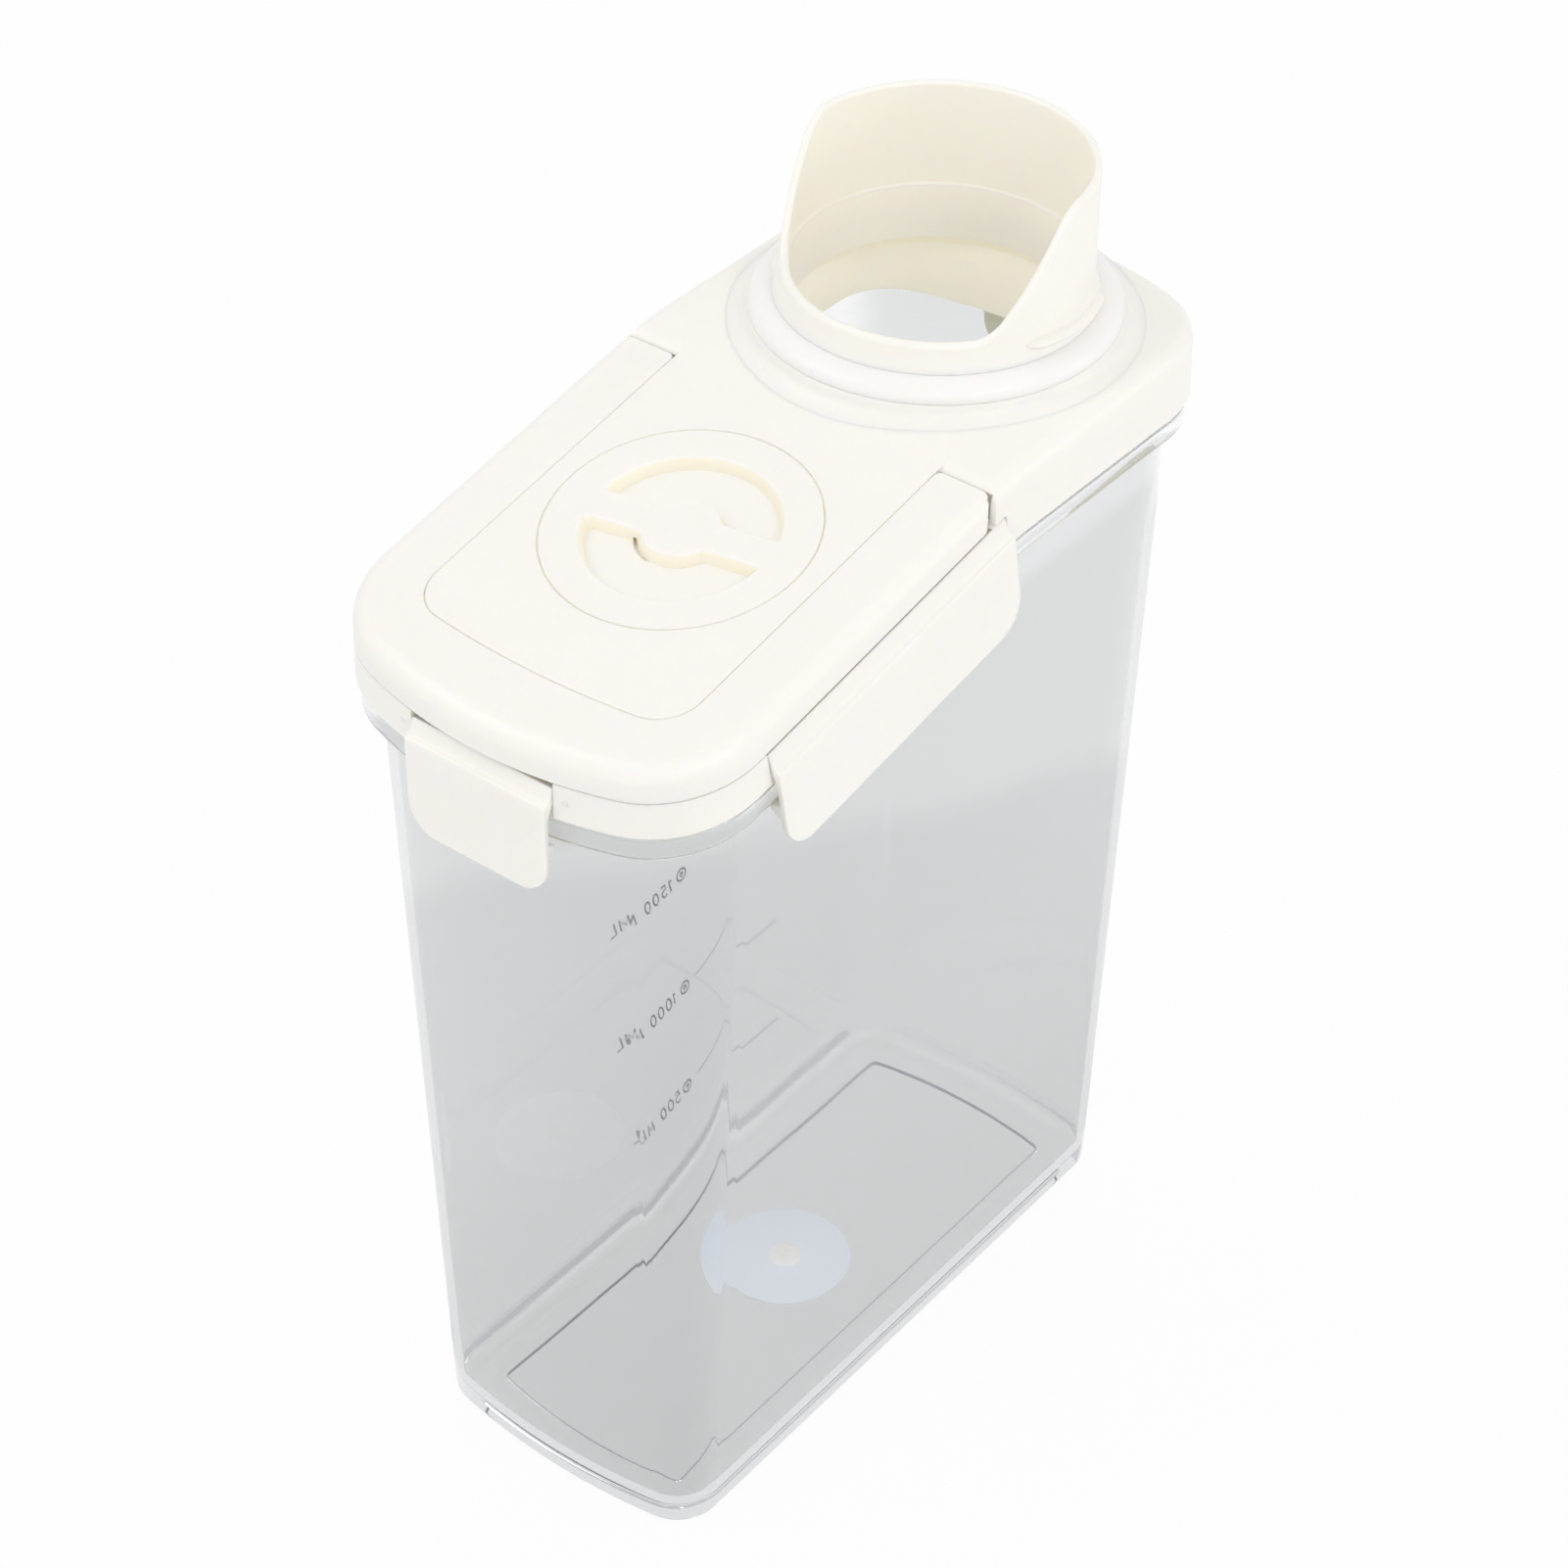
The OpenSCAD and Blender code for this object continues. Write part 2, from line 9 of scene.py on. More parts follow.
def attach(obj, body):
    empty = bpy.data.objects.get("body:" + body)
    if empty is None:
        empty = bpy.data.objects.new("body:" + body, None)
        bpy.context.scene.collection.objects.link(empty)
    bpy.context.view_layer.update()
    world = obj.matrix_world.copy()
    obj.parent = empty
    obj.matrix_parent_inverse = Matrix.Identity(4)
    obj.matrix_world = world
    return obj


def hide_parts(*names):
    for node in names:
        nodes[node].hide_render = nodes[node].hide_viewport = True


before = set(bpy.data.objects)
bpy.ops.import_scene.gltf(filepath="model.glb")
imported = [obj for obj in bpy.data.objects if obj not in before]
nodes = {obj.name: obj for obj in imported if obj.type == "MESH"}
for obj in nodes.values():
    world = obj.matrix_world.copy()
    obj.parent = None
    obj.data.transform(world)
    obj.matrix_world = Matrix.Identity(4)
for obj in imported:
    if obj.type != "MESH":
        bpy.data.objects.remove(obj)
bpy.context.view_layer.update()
MM = 0.001

# ---- sizes, in millimetres, as in the CAD ----------------------------------------
# outlines: width, length, corner radius, radius of the bowed ends
LID_W, LID_L, LID_R, LID_END = 105.4, 208.0, 25.4, 125.0
FOOT_W, FOOT_L, FOOT_R, FOOT_END = 81.0, 180.7, 12.0, 182.0
# the lid: height of its flat part, its slope, where that begins, half length of the blend
TOP, SLOPE, BEND, BLEND = 262.5, math.radians(10.4), 14.4, 6.0
SKIRT, SKIRT_T, EDGE, PANEL_T = 17.2, 2.4, 4.0, 2.6
PANEL_W, PANEL_FRONT, PANEL_R, PANEL_END = 73.0, -86.0, 10.0, 240.0
HANDLE_T, HANDLE_END, GAP = 8.0, 6.5, 0.2
REBATE = HANDLE_T + GAP
PIVOT_IN = 4.4
PIVOT_Y = HANDLE_END - PIVOT_IN
NECK_IN, NECK_Z, WALL, FLOOR_T = 5.5, 214.0, 2.3, 3.0
SPOUT_Y, SPOUT_R, BORE_R, SEAT_H = 54.9, 35.8, 33.3, 3.2
SEAT_BORE = SPOUT_R + 0.3
# the cap: its middle along the slope, its radius, and its well
CAP_S, CAP_R, WELL_R, WELL_T = 51.8, 31.1, 31.4, 3.4
LIP_END, LIP_IN = 23.7, 0.9
PLUG_IN, PLUG_T, PLUG_END = 8.4, 2.0, 22.6
# A clip: length, depth of its axis, axis inside the outline, flap outside the outline,
# depth of its hook, upper edge (x, z)
LONG = (83.6, 11.6, 1.4, 2.3, LIP_END + 0.3, (1.0, 3.1))
SHORT = (39.0, 12.4, 2.8, 1.2, LIP_END + 0.8, (0.9, 2.7))
LONG_S, CLIP_DROP, CLIP_T = 47.6, 37.8, 1.8
SIN, COS, TAN = math.sin(SLOPE), math.cos(SLOPE), math.tan(SLOPE)


def lid_top(y):
    """Height of the lid's top surface at y."""
    y = np.asarray(y, float)
    fall = np.where(y > BEND + BLEND, 0.0, np.where(
        y > BEND - BLEND, (BEND + BLEND - y) ** 2 / (4 * BLEND), BEND - y))
    return TOP - TAN * fall


PIVOT_Z = float(lid_top(PIVOT_Y)) - HANDLE_T / 2 / COS

# ---- outlines --------------------------------------------------------------------
SIDE_N, CORNER_N, END_N = 44, 14, 16


def outline(w, l, r, end_r):
    """Rounded outline with bowed ends, from the front's middle round by the right side.
    Point i and point -i are mirror images."""
    cy = l / 2 - end_r
    ky = cy + math.sqrt((end_r - r) ** 2 - (w / 2 - r) ** 2)
    turn = math.atan2(ky - cy, w / 2 - r)
    half = []
    for k in range(END_N):
        a = math.pi / 2 - (math.pi / 2 - turn) * k / END_N
        half.append((end_r * math.cos(a), -(cy + end_r * math.sin(a))))
    for k in range(CORNER_N):
        a = turn * (1 - k / CORNER_N)
        half.append((w / 2 - r + r * math.cos(a), -(ky + r * math.sin(a))))
    for k in range(SIDE_N):
        half.append((w / 2, -ky + 2 * ky * k / SIDE_N))
    for k in range(CORNER_N):
        a = turn * k / CORNER_N
        half.append((w / 2 - r + r * math.cos(a), ky + r * math.sin(a)))
    for k in range(END_N):
        a = turn + (math.pi / 2 - turn) * k / END_N
        half.append((end_r * math.cos(a), cy + end_r * math.sin(a)))
    right = np.array(half)
    left = right[1:][::-1] * (-1, 1)
    return np.vstack([right, [(0, l / 2)], left])


def lid_plan(d):
    """The lid's outline, moved in by d."""
    return outline(LID_W - 2 * d, LID_L - 2 * d, LID_R - d, LID_END - d)


def foot_plan(d):
    """The foot's outline, moved in by d."""
    return outline(FOOT_W - 2 * d, FOOT_L - 2 * d, FOOT_R - d, FOOT_END - d)


def under_top(plan, depth):
    """An outline laid at a depth under the lid's top surface."""
    return np.column_stack([plan, lid_top(plan[:, 1]) - depth])


def point_under(p, depth):
    return (p[0], p[1], float(lid_top(p[1])) - depth)


def at_z(plan, z):
    return np.column_stack([plan, np.full(len(plan), float(z))])


def circle(r, n=128, y0=0.0):
    a = np.linspace(0, 2 * math.pi, n, endpoint=False)
    return np.column_stack([r * np.cos(a), y0 + r * np.sin(a)])


# ---- meshes ----------------------------------------------------------------------
class Build:
    """Collects points in millimetres and faces, then makes one object of them."""

    def __init__(self):
        self.v, self.f = [], []

    def add(self, pts):
        """Adds points and returns their numbers."""
        start = len(self.v)
        self.v.extend(map(tuple, np.asarray(pts, float)))
        return list(range(start, start + len(pts)))

    def loft(self, rings, closed=True, ends=False):
        """Joins rings of equally many points, and fills the first and the last with ends."""
        ids = [self.add(r) for r in rings]
        for a, b in zip(ids, ids[1:]):
            n = len(a)
            for i in range(n if closed else n - 1):
                j = (i + 1) % n
                self.f.append((a[i], a[j], b[j], b[i]))
        if ends:
            self.f += [tuple(ids[0]), tuple(ids[-1])]
        return ids

    def loft_outlines(self, rings):
        """Joins rings made by outline(), and fills the first and the last with rows."""
        ids = self.loft(rings)
        self.fill_rows(ids[0], rings[0])
        self.fill_rows(ids[-1], rings[-1])

    def fill_rows(self, ring, pts, columns=9):
        n = len(ring)
        t = np.linspace(0, 1, columns + 1)[1:-1]
        rows = []
        for i in range(1, n // 2):
            a, b = np.array(pts[i]), np.array(pts[n - i])
            inner = [tuple(a + (b - a) * s) for s in t]
            rows.append([ring[i]] + self.add(inner) + [ring[n - i]])
        for a, b in zip(rows, rows[1:]):
            for k in range(len(a) - 1):
                self.f.append((a[k], a[k + 1], b[k + 1], b[k]))
        for k in range(len(rows[0]) - 1):
            self.f.append((ring[0], rows[0][k + 1], rows[0][k]))
            self.f.append((ring[n // 2], rows[-1][k], rows[-1][k + 1]))

    def object(self, name, material=None, sharp=40, matrix=None):
        """Makes the object in metres; edges over sharp degrees stay hard."""
        mesh = bpy.data.meshes.new(name)
        mesh.from_pydata([(x * MM, y * MM, z * MM) for x, y, z in self.v], [], self.f)
        bm = bmesh.new()
        bm.from_mesh(mesh)
        bmesh.ops.remove_doubles(bm, verts=bm.verts, dist=1e-7)
        bmesh.ops.dissolve_degenerate(bm, dist=1e-8, edges=bm.edges)
        bmesh.ops.recalc_face_normals(bm, faces=bm.faces)
        bm.to_mesh(mesh)
        bm.free()
        if matrix is not None:
            mesh.transform(matrix)
        ob = bpy.data.objects.new(name, mesh)
        bpy.context.scene.collection.objects.link(ob)
        smooth(ob, sharp)
        if material:
            mesh.materials.append(material)
        return ob


def smooth(ob, sharp):
    ob.data.shade_smooth()
    ob.data.set_sharp_from_angle(angle=math.radians(sharp))


def weighted(ob):
    """Flat faces keep their shading beside rounded edges."""
    m = ob.modifiers.new("normals", "WEIGHTED_NORMAL")
    m.keep_sharp = True
    m.weight = 50


def boolean(ob, tools, operation, sharp=32):
    """Cuts, adds or keeps with all the tools together, which are then removed."""
    group = bpy.data.collections.new("tools")
    bpy.context.scene.collection.children.link(group)
    for t in tools:
        group.objects.link(t)
    m = ob.modifiers.new("b", "BOOLEAN")
    m.operation, m.solver, m.use_self = operation, "EXACT", len(tools) > 1
    m.operand_type, m.collection = "COLLECTION", group
    dg = bpy.context.evaluated_depsgraph_get()
    made = bpy.data.meshes.new_from_object(ob.evaluated_get(dg))
    ob.modifiers.clear()
    ob.data = made
    for t in tools:
        bpy.data.objects.remove(t)
    bpy.data.collections.remove(group)
    smooth(ob, sharp)


def revolve(points, n=128, y0=0.0):
    """Builds a solid of revolution about an upright axis at y0 from (r, z) points."""
    b = Build()
    b.loft([at_z(circle(r, n, y0), z) for r, z in points], ends=True)
    return b


def tool(b, matrix=None):
    """An object for boolean() to use up."""
    return b.object("tool", matrix=matrix)


def ring_solid(profile, n=128, y0=0.0):
    """A closed ring from a closed list of (r, z) points."""
    b = Build()
    rings = [at_z(circle(r, n, y0), z) for r, z in profile]
    b.loft(rings + rings[:1])
    return b


def prism(points, lo, hi):
    """Extrudes (y, z) points along x from lo to hi."""
    b = Build()
    p = np.asarray(points, float)
    b.loft([np.column_stack([np.full(len(p), x), p]) for x in (lo, hi)], ends=True)
    return b


def box(x, y, z):
    """A box between two values of x, y and z."""
    b = Build()
    b.loft([[(x[0], y[0], h), (x[1], y[0], h), (x[1], y[1], h), (x[0], y[1], h)] for h in z],
           ends=True)
    return b


def arc(cx, cy, r, a0, a1, n=10):
    """Points of an arc from a0 to a1 degrees."""
    a = np.radians(np.linspace(a0, a1, n + 1))
    return [(cx + r * math.cos(t), cy + r * math.sin(t)) for t in a]


def normals_of(path):
    """Left-hand unit normals of a closed path."""
    p = np.asarray(path, float)
    d = np.roll(p, -1, 0) - p
    d /= np.maximum(np.linalg.norm(d, axis=1), 1e-9)[:, None]
    t = d + np.roll(d, 1, 0)
    t /= np.maximum(np.linalg.norm(t, axis=1), 1e-9)[:, None]
    half = np.sqrt(np.maximum((1 + (d * np.roll(d, 1, 0)).sum(1)) / 2, 0.25))
    return np.column_stack([-t[:, 1], t[:, 0]]) / half[:, None]


def paint(ob, look, chosen):
    """Gives the look to the faces that chosen picks."""
    ob.data.materials.append(look)
    for face in ob.data.polygons:
        if chosen(face):
            face.material_index = len(ob.data.materials) - 1


def slope_matrix(s):
    """Places a piece on the lid's slope, s down it, with Z square to the slope."""
    return (Matrix.Translation((0, BEND * MM, TOP * MM)) @ Matrix.Rotation(SLOPE, 4, "X")
            @ Matrix.Translation((0, -s * MM, 0)))


def long_matrix(side):
    """Places a long clip: X outwards, Y along its axis."""
    m = slope_matrix(LONG_S) @ Matrix.Translation(
        (side * (LID_W / 2 - LONG[2]) * MM, 0, -LONG[1] * MM))
    return m @ Matrix.Rotation(math.pi if side < 0 else 0, 4, "Z")


def short_matrix(side):
    """Places a short clip, the same way."""
    y = side * (LID_L / 2 - SHORT[2])
    m = Matrix.Translation((0, y * MM, (float(lid_top(y)) - SHORT[1]) * MM))
    return m @ Matrix.Rotation(side * math.pi / 2, 4, "Z")


CLIPS = (("clip_left", LONG, long_matrix(-1)), ("clip_right", LONG, long_matrix(1)),
         ("clip_front", SHORT, short_matrix(-1)), ("clip_back", SHORT, short_matrix(1)))


# ---- materials -------------------------------------------------------------------
def material(name):
    """A new material, its nodes, its links and its Principled shader."""
    m = bpy.data.materials.new(name)
    m.use_nodes = True
    return m, m.node_tree.nodes, m.node_tree.links, m.node_tree.nodes["Principled BSDF"]


def noise(n, l, scale, detail):
    """Noise whose scale is in cycles per metre of the object's own space."""
    t = n.new("ShaderNodeTexNoise")
    t.inputs["Scale"].default_value = scale
    t.inputs["Detail"].default_value = detail
    l.new(n.new("ShaderNodeTexCoord").outputs["Object"], t.inputs["Vector"])
    return t.outputs["Fac"]


def remap(n, l, value, lo, hi):
    """Spreads the middle half of a noise over lo to hi."""
    t = n.new("ShaderNodeMapRange")
    t.inputs["From Min"].default_value, t.inputs["From Max"].default_value = 0.25, 0.75
    t.inputs["To Min"].default_value, t.inputs["To Max"].default_value = lo, hi
    l.new(value, t.inputs["Value"])
    return t.outputs["Result"]


def mix_colour(n, l, factor, a, b):
    """Colour a, written or from a node, that turns into colour b."""
    t = n.new("ShaderNodeMix")
    t.data_type = "RGBA"
    if isinstance(a, tuple):
        t.inputs["A"].default_value = (*a, 1)
    else:
        l.new(a, t.inputs["A"])
    t.inputs["B"].default_value = (*b, 1)
    l.new(factor, t.inputs["Factor"])
    return t.outputs["Result"]


def two_tone(n, l, value, a, b):
    return mix_colour(n, l, remap(n, l, value, 0, 1), a, b)


def mix_shader(n, l, factor, a, b):
    t = n.new("ShaderNodeMixShader")
    for k, output in enumerate((factor, a, b)):
        l.new(output, t.inputs[k])
    return t.outputs[0]


def bump(n, l, value, distance, strength, under=None):
    """A bump from a value, on top of another bump where under is given."""
    t = n.new("ShaderNodeBump")
    t.inputs["Distance"].default_value = distance
    t.inputs["Strength"].default_value = strength
    l.new(value, t.inputs["Height"])
    if under:
        l.new(under, t.inputs["Normal"])
    return t.outputs["Normal"]


def paint_glow(p, light):
    """Painted glow: emission in each colour that stands in for light reaching a shaded face through
    the thin plastic behind it.
    """
    p.inputs["Emission Color"].default_value = (*light, 1)
    p.inputs["Emission Strength"].default_value = 1.0


def satin(name, a, b, rough, grain=2600, depth=0.00003, glow=0.4, light=None):
    """Moulded satin plastic: faint mottling, fine spark-eroded grain, a little light inside; where
    light is given, a painted glow as well.
    """
    m, n, l, p = material(name)
    l.new(two_tone(n, l, noise(n, l, 38, 3), a, b), p.inputs["Base Color"])
    l.new(remap(n, l, noise(n, l, 120, 3), *rough), p.inputs["Roughness"])
    soft = bump(n, l, noise(n, l, 26, 1), 0.0002, 0.12)
    l.new(bump(n, l, noise(n, l, grain, 2), depth, 0.35, soft), p.inputs["Normal"])
    p.inputs["IOR"].default_value = 1.49
    p.inputs["Subsurface Weight"].default_value = glow
    p.inputs["Subsurface Radius"].default_value = (1.0, 0.8, 0.5)
    p.inputs["Subsurface Scale"].default_value = 0.002
    # painted glow, where light is given
    if light:
        paint_glow(p, light)
    return m


def math_node(n, l, kind, a, b):
    """One sum of two numbers or node outputs."""
    t = n.new("ShaderNodeMath")
    t.operation = kind
    for k, v in enumerate((a, b)):
        if isinstance(v, (int, float)):
            t.inputs[k].default_value = v
        else:
            l.new(v, t.inputs[k])
    return t.outputs[0]


def painted_wall_tint(n, l):
    """Painted light and shade in the wall's colour: darker towards the foot, lighter above a soft
    wavy border that crosses the near walls, and lightest at the rim."""
    at = n.new("ShaderNodeTexCoord").outputs["Object"]
    split = n.new("ShaderNodeSeparateXYZ")
    l.new(at, split.inputs[0])
    x, y, z = (split.outputs[k] for k in "XYZ")
    wave = math_node(n, l, "MULTIPLY", noise(n, l, 14, 1), 0.02)
    border = math_node(n, l, "ADD", math_node(n, l, "MULTIPLY", x, -0.66),
                       math_node(n, l, "MULTIPLY", y, 0.46))
    high = math_node(n, l, "ADD", math_node(n, l, "ADD", border, z), wave)
    near = math_node(n, l, "SUBTRACT", math_node(n, l, "MULTIPLY", x, 2.2), y)

    def fade(value, start, end):
        """0 up to start, 1 from end on, in metres."""
        t = n.new("ShaderNodeMapRange")
        t.interpolation_type = "SMOOTHSTEP"
        t.inputs["From Min"].default_value, t.inputs["From Max"].default_value = start, end
        l.new(value, t.inputs["Value"])
        return t.outputs[0]
    upper = math_node(n, l, "MULTIPLY", fade(high, 0.152, 0.166), fade(near, -0.03, 0.0))
    rim = math_node(n, l, "MULTIPLY", fade(z, 0.222, 0.228), fade(y, 0.090, 0.078))
    colour = PAINTED_WALL_TINTS[0]
    for tint, factor in zip(PAINTED_WALL_TINTS[1:], (fade(z, 0.02, 0.12), upper, rim)):
        colour = mix_colour(n, l, factor, colour, tint)
    return colour


def clear(name, colour, rough, wave=0.0006, through=1.0, light=None):
    """Clear moulded plastic, with the slight waviness of its walls. Without a colour, its tint
    holds painted light and shade; where light is given, it has a painted glow.
    Light that is caught inside a wall leaves it straight on, tinted."""
    m, n, l, p = material(name)
    if colour:
        p.inputs["Base Color"].default_value = (*colour, 1)
    else:
        # painted light and shade in the wall's colour
        l.new(painted_wall_tint(n, l), p.inputs["Base Color"])
    l.new(remap(n, l, noise(n, l, 60, 2), *rough), p.inputs["Roughness"])
    l.new(bump(n, l, noise(n, l, 22, 1), wave, 0.25), p.inputs["Normal"])
    p.inputs["IOR"].default_value = 1.49
    p.inputs["Transmission Weight"].default_value = through
    if light:
        paint_glow(p, light)
    path = n.new("ShaderNodeLightPath")
    caught = math_node(n, l, "GREATER_THAN", path.outputs["Glossy Depth"], 1.5)
    out = p.outputs[0]
    for factor, film in ((caught, CAUGHT), (path.outputs["Is Shadow Ray"], SHADOW)):
        pane = n.new("ShaderNodeBsdfTransparent")
        pane.inputs["Color"].default_value = (*film, 1)
        out = mix_shader(n, l, factor, out, pane.outputs[0])
    l.new(out, n["Material Output"].inputs["Surface"])
    return m


# painted light and shade of the wall: its tint at the foot, higher up, above the wavy border, and
# at the rim
PAINTED_WALL_TINTS = ((0.735, 0.743, 0.746), (0.78, 0.788, 0.792), (0.865, 0.868, 0.869),
         (0.96, 0.965, 0.968))
# what is left of light caught in a wall, and of a lamp's light through one
CAUGHT, SHADOW = (0.84, 0.85, 0.86), (0.985, 0.985, 0.985)
CREAM_A, CREAM_B = (0.958, 0.922, 0.864), (0.966, 0.936, 0.886)
CREAM = satin("cream", CREAM_A, CREAM_B, (0.29, 0.37))
SPOUT_CREAM = satin("cream_spout", CREAM_A, CREAM_B, (0.28, 0.36), grain=3400, depth=0.00002)
ROD = satin("cream_rod", (0.94, 0.92, 0.86), (0.95, 0.93, 0.87), (0.22, 0.3), depth=0.00001)
CUP = satin("cream_cup", (0.94, 0.925, 0.865), (0.955, 0.94, 0.885), (0.42, 0.52))
SEAL = satin("milky_silicone", (0.945, 0.925, 0.90), (0.955, 0.935, 0.915), (0.30, 0.40),
             depth=0.00002, glow=0.3)
# lighter cream with a painted glow, for cream faces in shade: inside the bore, the plug, the joint
# ledges and the clips' backs
GLOWING_CREAM = satin("cream_inside_painted_glow", (0.985, 0.960, 0.895), (0.995, 0.972, 0.91), (0.38, 0.48),
              light=(0.22, 0.20, 0.13))
# the spout's inner faces: cream with a faint painted glow, for light through the thin wall
SPOUT_INSIDE_GLOW = satin("cream_spout_inside_painted_glow", CREAM_A, CREAM_B, (0.28, 0.36), grain=3400,
                     depth=0.00002, light=(0.042, 0.034, 0.006))
GASKET = satin("gasket_silicone", (0.88, 0.89, 0.90), (0.91, 0.92, 0.93), (0.35, 0.45))
# the walls' colour carries painted light and shade
CLEAR = clear("clear_wall", None, (0.015, 0.035))
# painted highlight: the rim is partly white and diffuse so that it reads bright, in place of light
# off its curved edges
CLEAR_RIM_PAINTED_LIGHT = clear("clear_rim_painted_highlight", (0.955, 0.960, 0.963), (0.03, 0.08), through=0.68)
# painted shade: a warmer, deeper cream on the walls of the cap's pockets and trench, where shade
# falls, with a faint warm painted glow
POCKET_SHADE = satin("cream_painted_pocket_shade", (0.94, 0.89, 0.77), (0.95, 0.905, 0.795), (0.32, 0.42),
             light=(0.03, 0.02, 0.0))
# frosted disc, with a bluish painted glow in place of the light it gathers
FROST = clear("frosted_disc", (0.965, 0.99, 1.0), (0.38, 0.5), 0.0002, through=0.05,
              light=(0.045, 0.065, 0.12))
# the gate's grain, with a painted glow
GATE = satin("gate_grain", (0.93, 0.93, 0.93), (1.0, 1.0, 0.99), (0.2, 0.5), grain=1400,
             depth=0.0006, glow=0.0, light=(0.17, 0.155, 0.14))
# dark blue-grey for the painted shade line under the floor
EDGE_SHADE = satin("edge_shade", (0.26, 0.31, 0.40), (0.31, 0.36, 0.45), (0.5, 0.6), glow=0.0)
INK, n, l, p = material("grey_ink")
l.new(two_tone(n, l, noise(n, l, 900, 3), (0.012, 0.014, 0.016), (0.03, 0.033, 0.036)),
      p.inputs["Base Color"])
p.inputs["Roughness"].default_value = 0.55


def line_inside(ob, look, lowest, highest):
    """Gives the look to the faces that turn towards the spout's axis between two heights."""
    def chosen(face):
        x, y, z = face.center / MM
        r = math.hypot(x, y - SPOUT_Y)
        inward = -(face.normal.x * x + face.normal.y * (y - SPOUT_Y)) / max(r, 1e-6)
        return r < SPOUT_R + 0.5 and inward > 0.8 and lowest < z < highest
    paint(ob, look, chosen)


# ---- container -------------------------------------------------------------------
# the rim's profile: inset from the lid's outline, depth under the lid's top
RIM = [(5.5, 21), (4.7, 19.9), (3.2, 19.8), (2.7, 20.2), (2.7, 23.3), (2.5, 23.65), (1.2, 23.7),
       (LIP_IN, 23.3), (LIP_IN, 18.3), (1.3, 17.85), (2, 17.8), (5, 17.8), (5.5, 17.5), (5.5, 11.6),
       (5.8, 11.05), (7.5, 11), (7.8, 11.4)]
RIM_END, RIM_FROM = 21.0, 20.7
# the underside's sunk panel, from its ceiling to its edge: outline and height
SUNK = [((56.3, 156.6, 2.0, 132), 1.2), ((56.5, 156.8, 2.1, 132), 0.3),
        ((57.0, 157.3, 2.4, 132.3), 0.0)]
FOOT_EDGE, FILLET = 3.0, 8.0
LEVELS = [20, 45, 75, 105, 135, 165, 190, NECK_Z]
DISC_R, DISC_Z, DISC_TOP = 17.3, 3.05, 3.65


def wall_between(z, inset):
    """Outline of the drafted wall at height z, moved in by inset."""
    t = (z - FOOT_EDGE) / (NECK_Z - FOOT_EDGE)
    return at_z(foot_plan(inset) * (1 - t) + lid_plan(NECK_IN + inset) * t, z)


def container():
    """One skin, from the underside up the outside, over the rim and down to the floor."""
    rings = [at_z(outline(*plan), z) for plan, z in SUNK]
    rings += [at_z(foot_plan(FOOT_EDGE * (1 - math.sin(a))), FOOT_EDGE * (1 - math.cos(a)))
              for a in np.radians(np.arange(0, 91, 15))]
    rings += [wall_between(z, 0) for z in LEVELS]
    rings += [under_top(lid_plan(i), d) for i, d in RIM]
    inside = lid_plan(NECK_IN + WALL)
    rings += [under_top(inside, RIM_END), at_z(inside, NECK_Z)]
    rings += [wall_between(z, WALL) for z in LEVELS[-2::-1]]
    rings += [at_z(foot_plan(WALL + FILLET * (1 - math.cos(a))),
                   FLOOR_T + FILLET - FILLET * math.sin(a))
              for a in np.radians(np.arange(0, 91, 9))]
    b = Build()
    b.loft_outlines(rings)
    ob = b.object("container_shell", CLEAR, sharp=50)
    # the rim's faces get the painted highlight of the partly white clear plastic
    paint(ob, CLEAR_RIM_PAINTED_LIGHT,
          lambda face: lid_top(face.center.y / MM) - face.center.z / MM < RIM_FROM)
    return ob


def floor_disc():
    """Frosted moulding disc in the middle of the floor; its material also has a painted glow."""
    disc = revolve([(0.01, DISC_Z), (DISC_R - 0.1, DISC_Z), (DISC_R, DISC_Z + 0.1),
                    (DISC_R, DISC_TOP - 0.1), (DISC_R - 0.15, DISC_TOP), (0.01, DISC_TOP)])
    return disc.object("floor_disc", FROST, sharp=35)


def gate():
    """Rough injection mark in the middle of the disc; its grain glows with painted light."""
    b, rng, n = Build(), np.random.default_rng(7), 36
    rings = []
    for r, z in ((4.3, 3.68), (4.25, 3.9), (3.8, 4.25), (3.1, 4.4), (2.3, 4.45), (1.5, 4.5),
                 (0.7, 4.5)):
        rough = 0.16 if r < 4 else 0.02
        rings.append(np.column_stack([circle(r, n) * (1 + 0.02 * rng.standard_normal((n, 1))),
                                      z + rough * rng.standard_normal(n).clip(-1.5, 1.5)]))
    b.loft(rings, ends=True)
    return b.object("gate_mark", GATE, 60)


def painted_panel_shade():
    """Painted shade: a dark strip in the air under the floor, in place of the dark line of the sunk
    panel's edge as it shows through the floor.
    """
    b = Build()
    outer, inner = outline(56.05, 156.35, 1.9, 132), outline(55.8, 156.1, 1.8, 132)
    rings = [at_z(outer, 0.2), at_z(outer, 1.12), at_z(inner, 1.12), at_z(inner, 0.2)]
    b.loft(rings + rings[:1])
    return b.object("painted_panel_shade", EDGE_SHADE, 40)


# ---- lid -------------------------------------------------------------------------
EDGE_RINGS = [(0.3 + EDGE * (1 - math.cos(a)), EDGE * (1 - math.sin(a)))
              for a in np.radians(np.arange(0, 91, 7.5))]
SKIRT_FOOT = [(0.02, SKIRT - 0.5), (0.12, SKIRT - 0.15), (0.4, SKIRT)]
HOLLOW, DEEP_HOLLOW = 14.0, 30.0
# the pocket that the handle's arms turn in, and the pins
POCKET_ROD, POCKET_END, PIN_R = 6.52, LID_W / 2 - 1.9, 2.0
BIG = 90.0


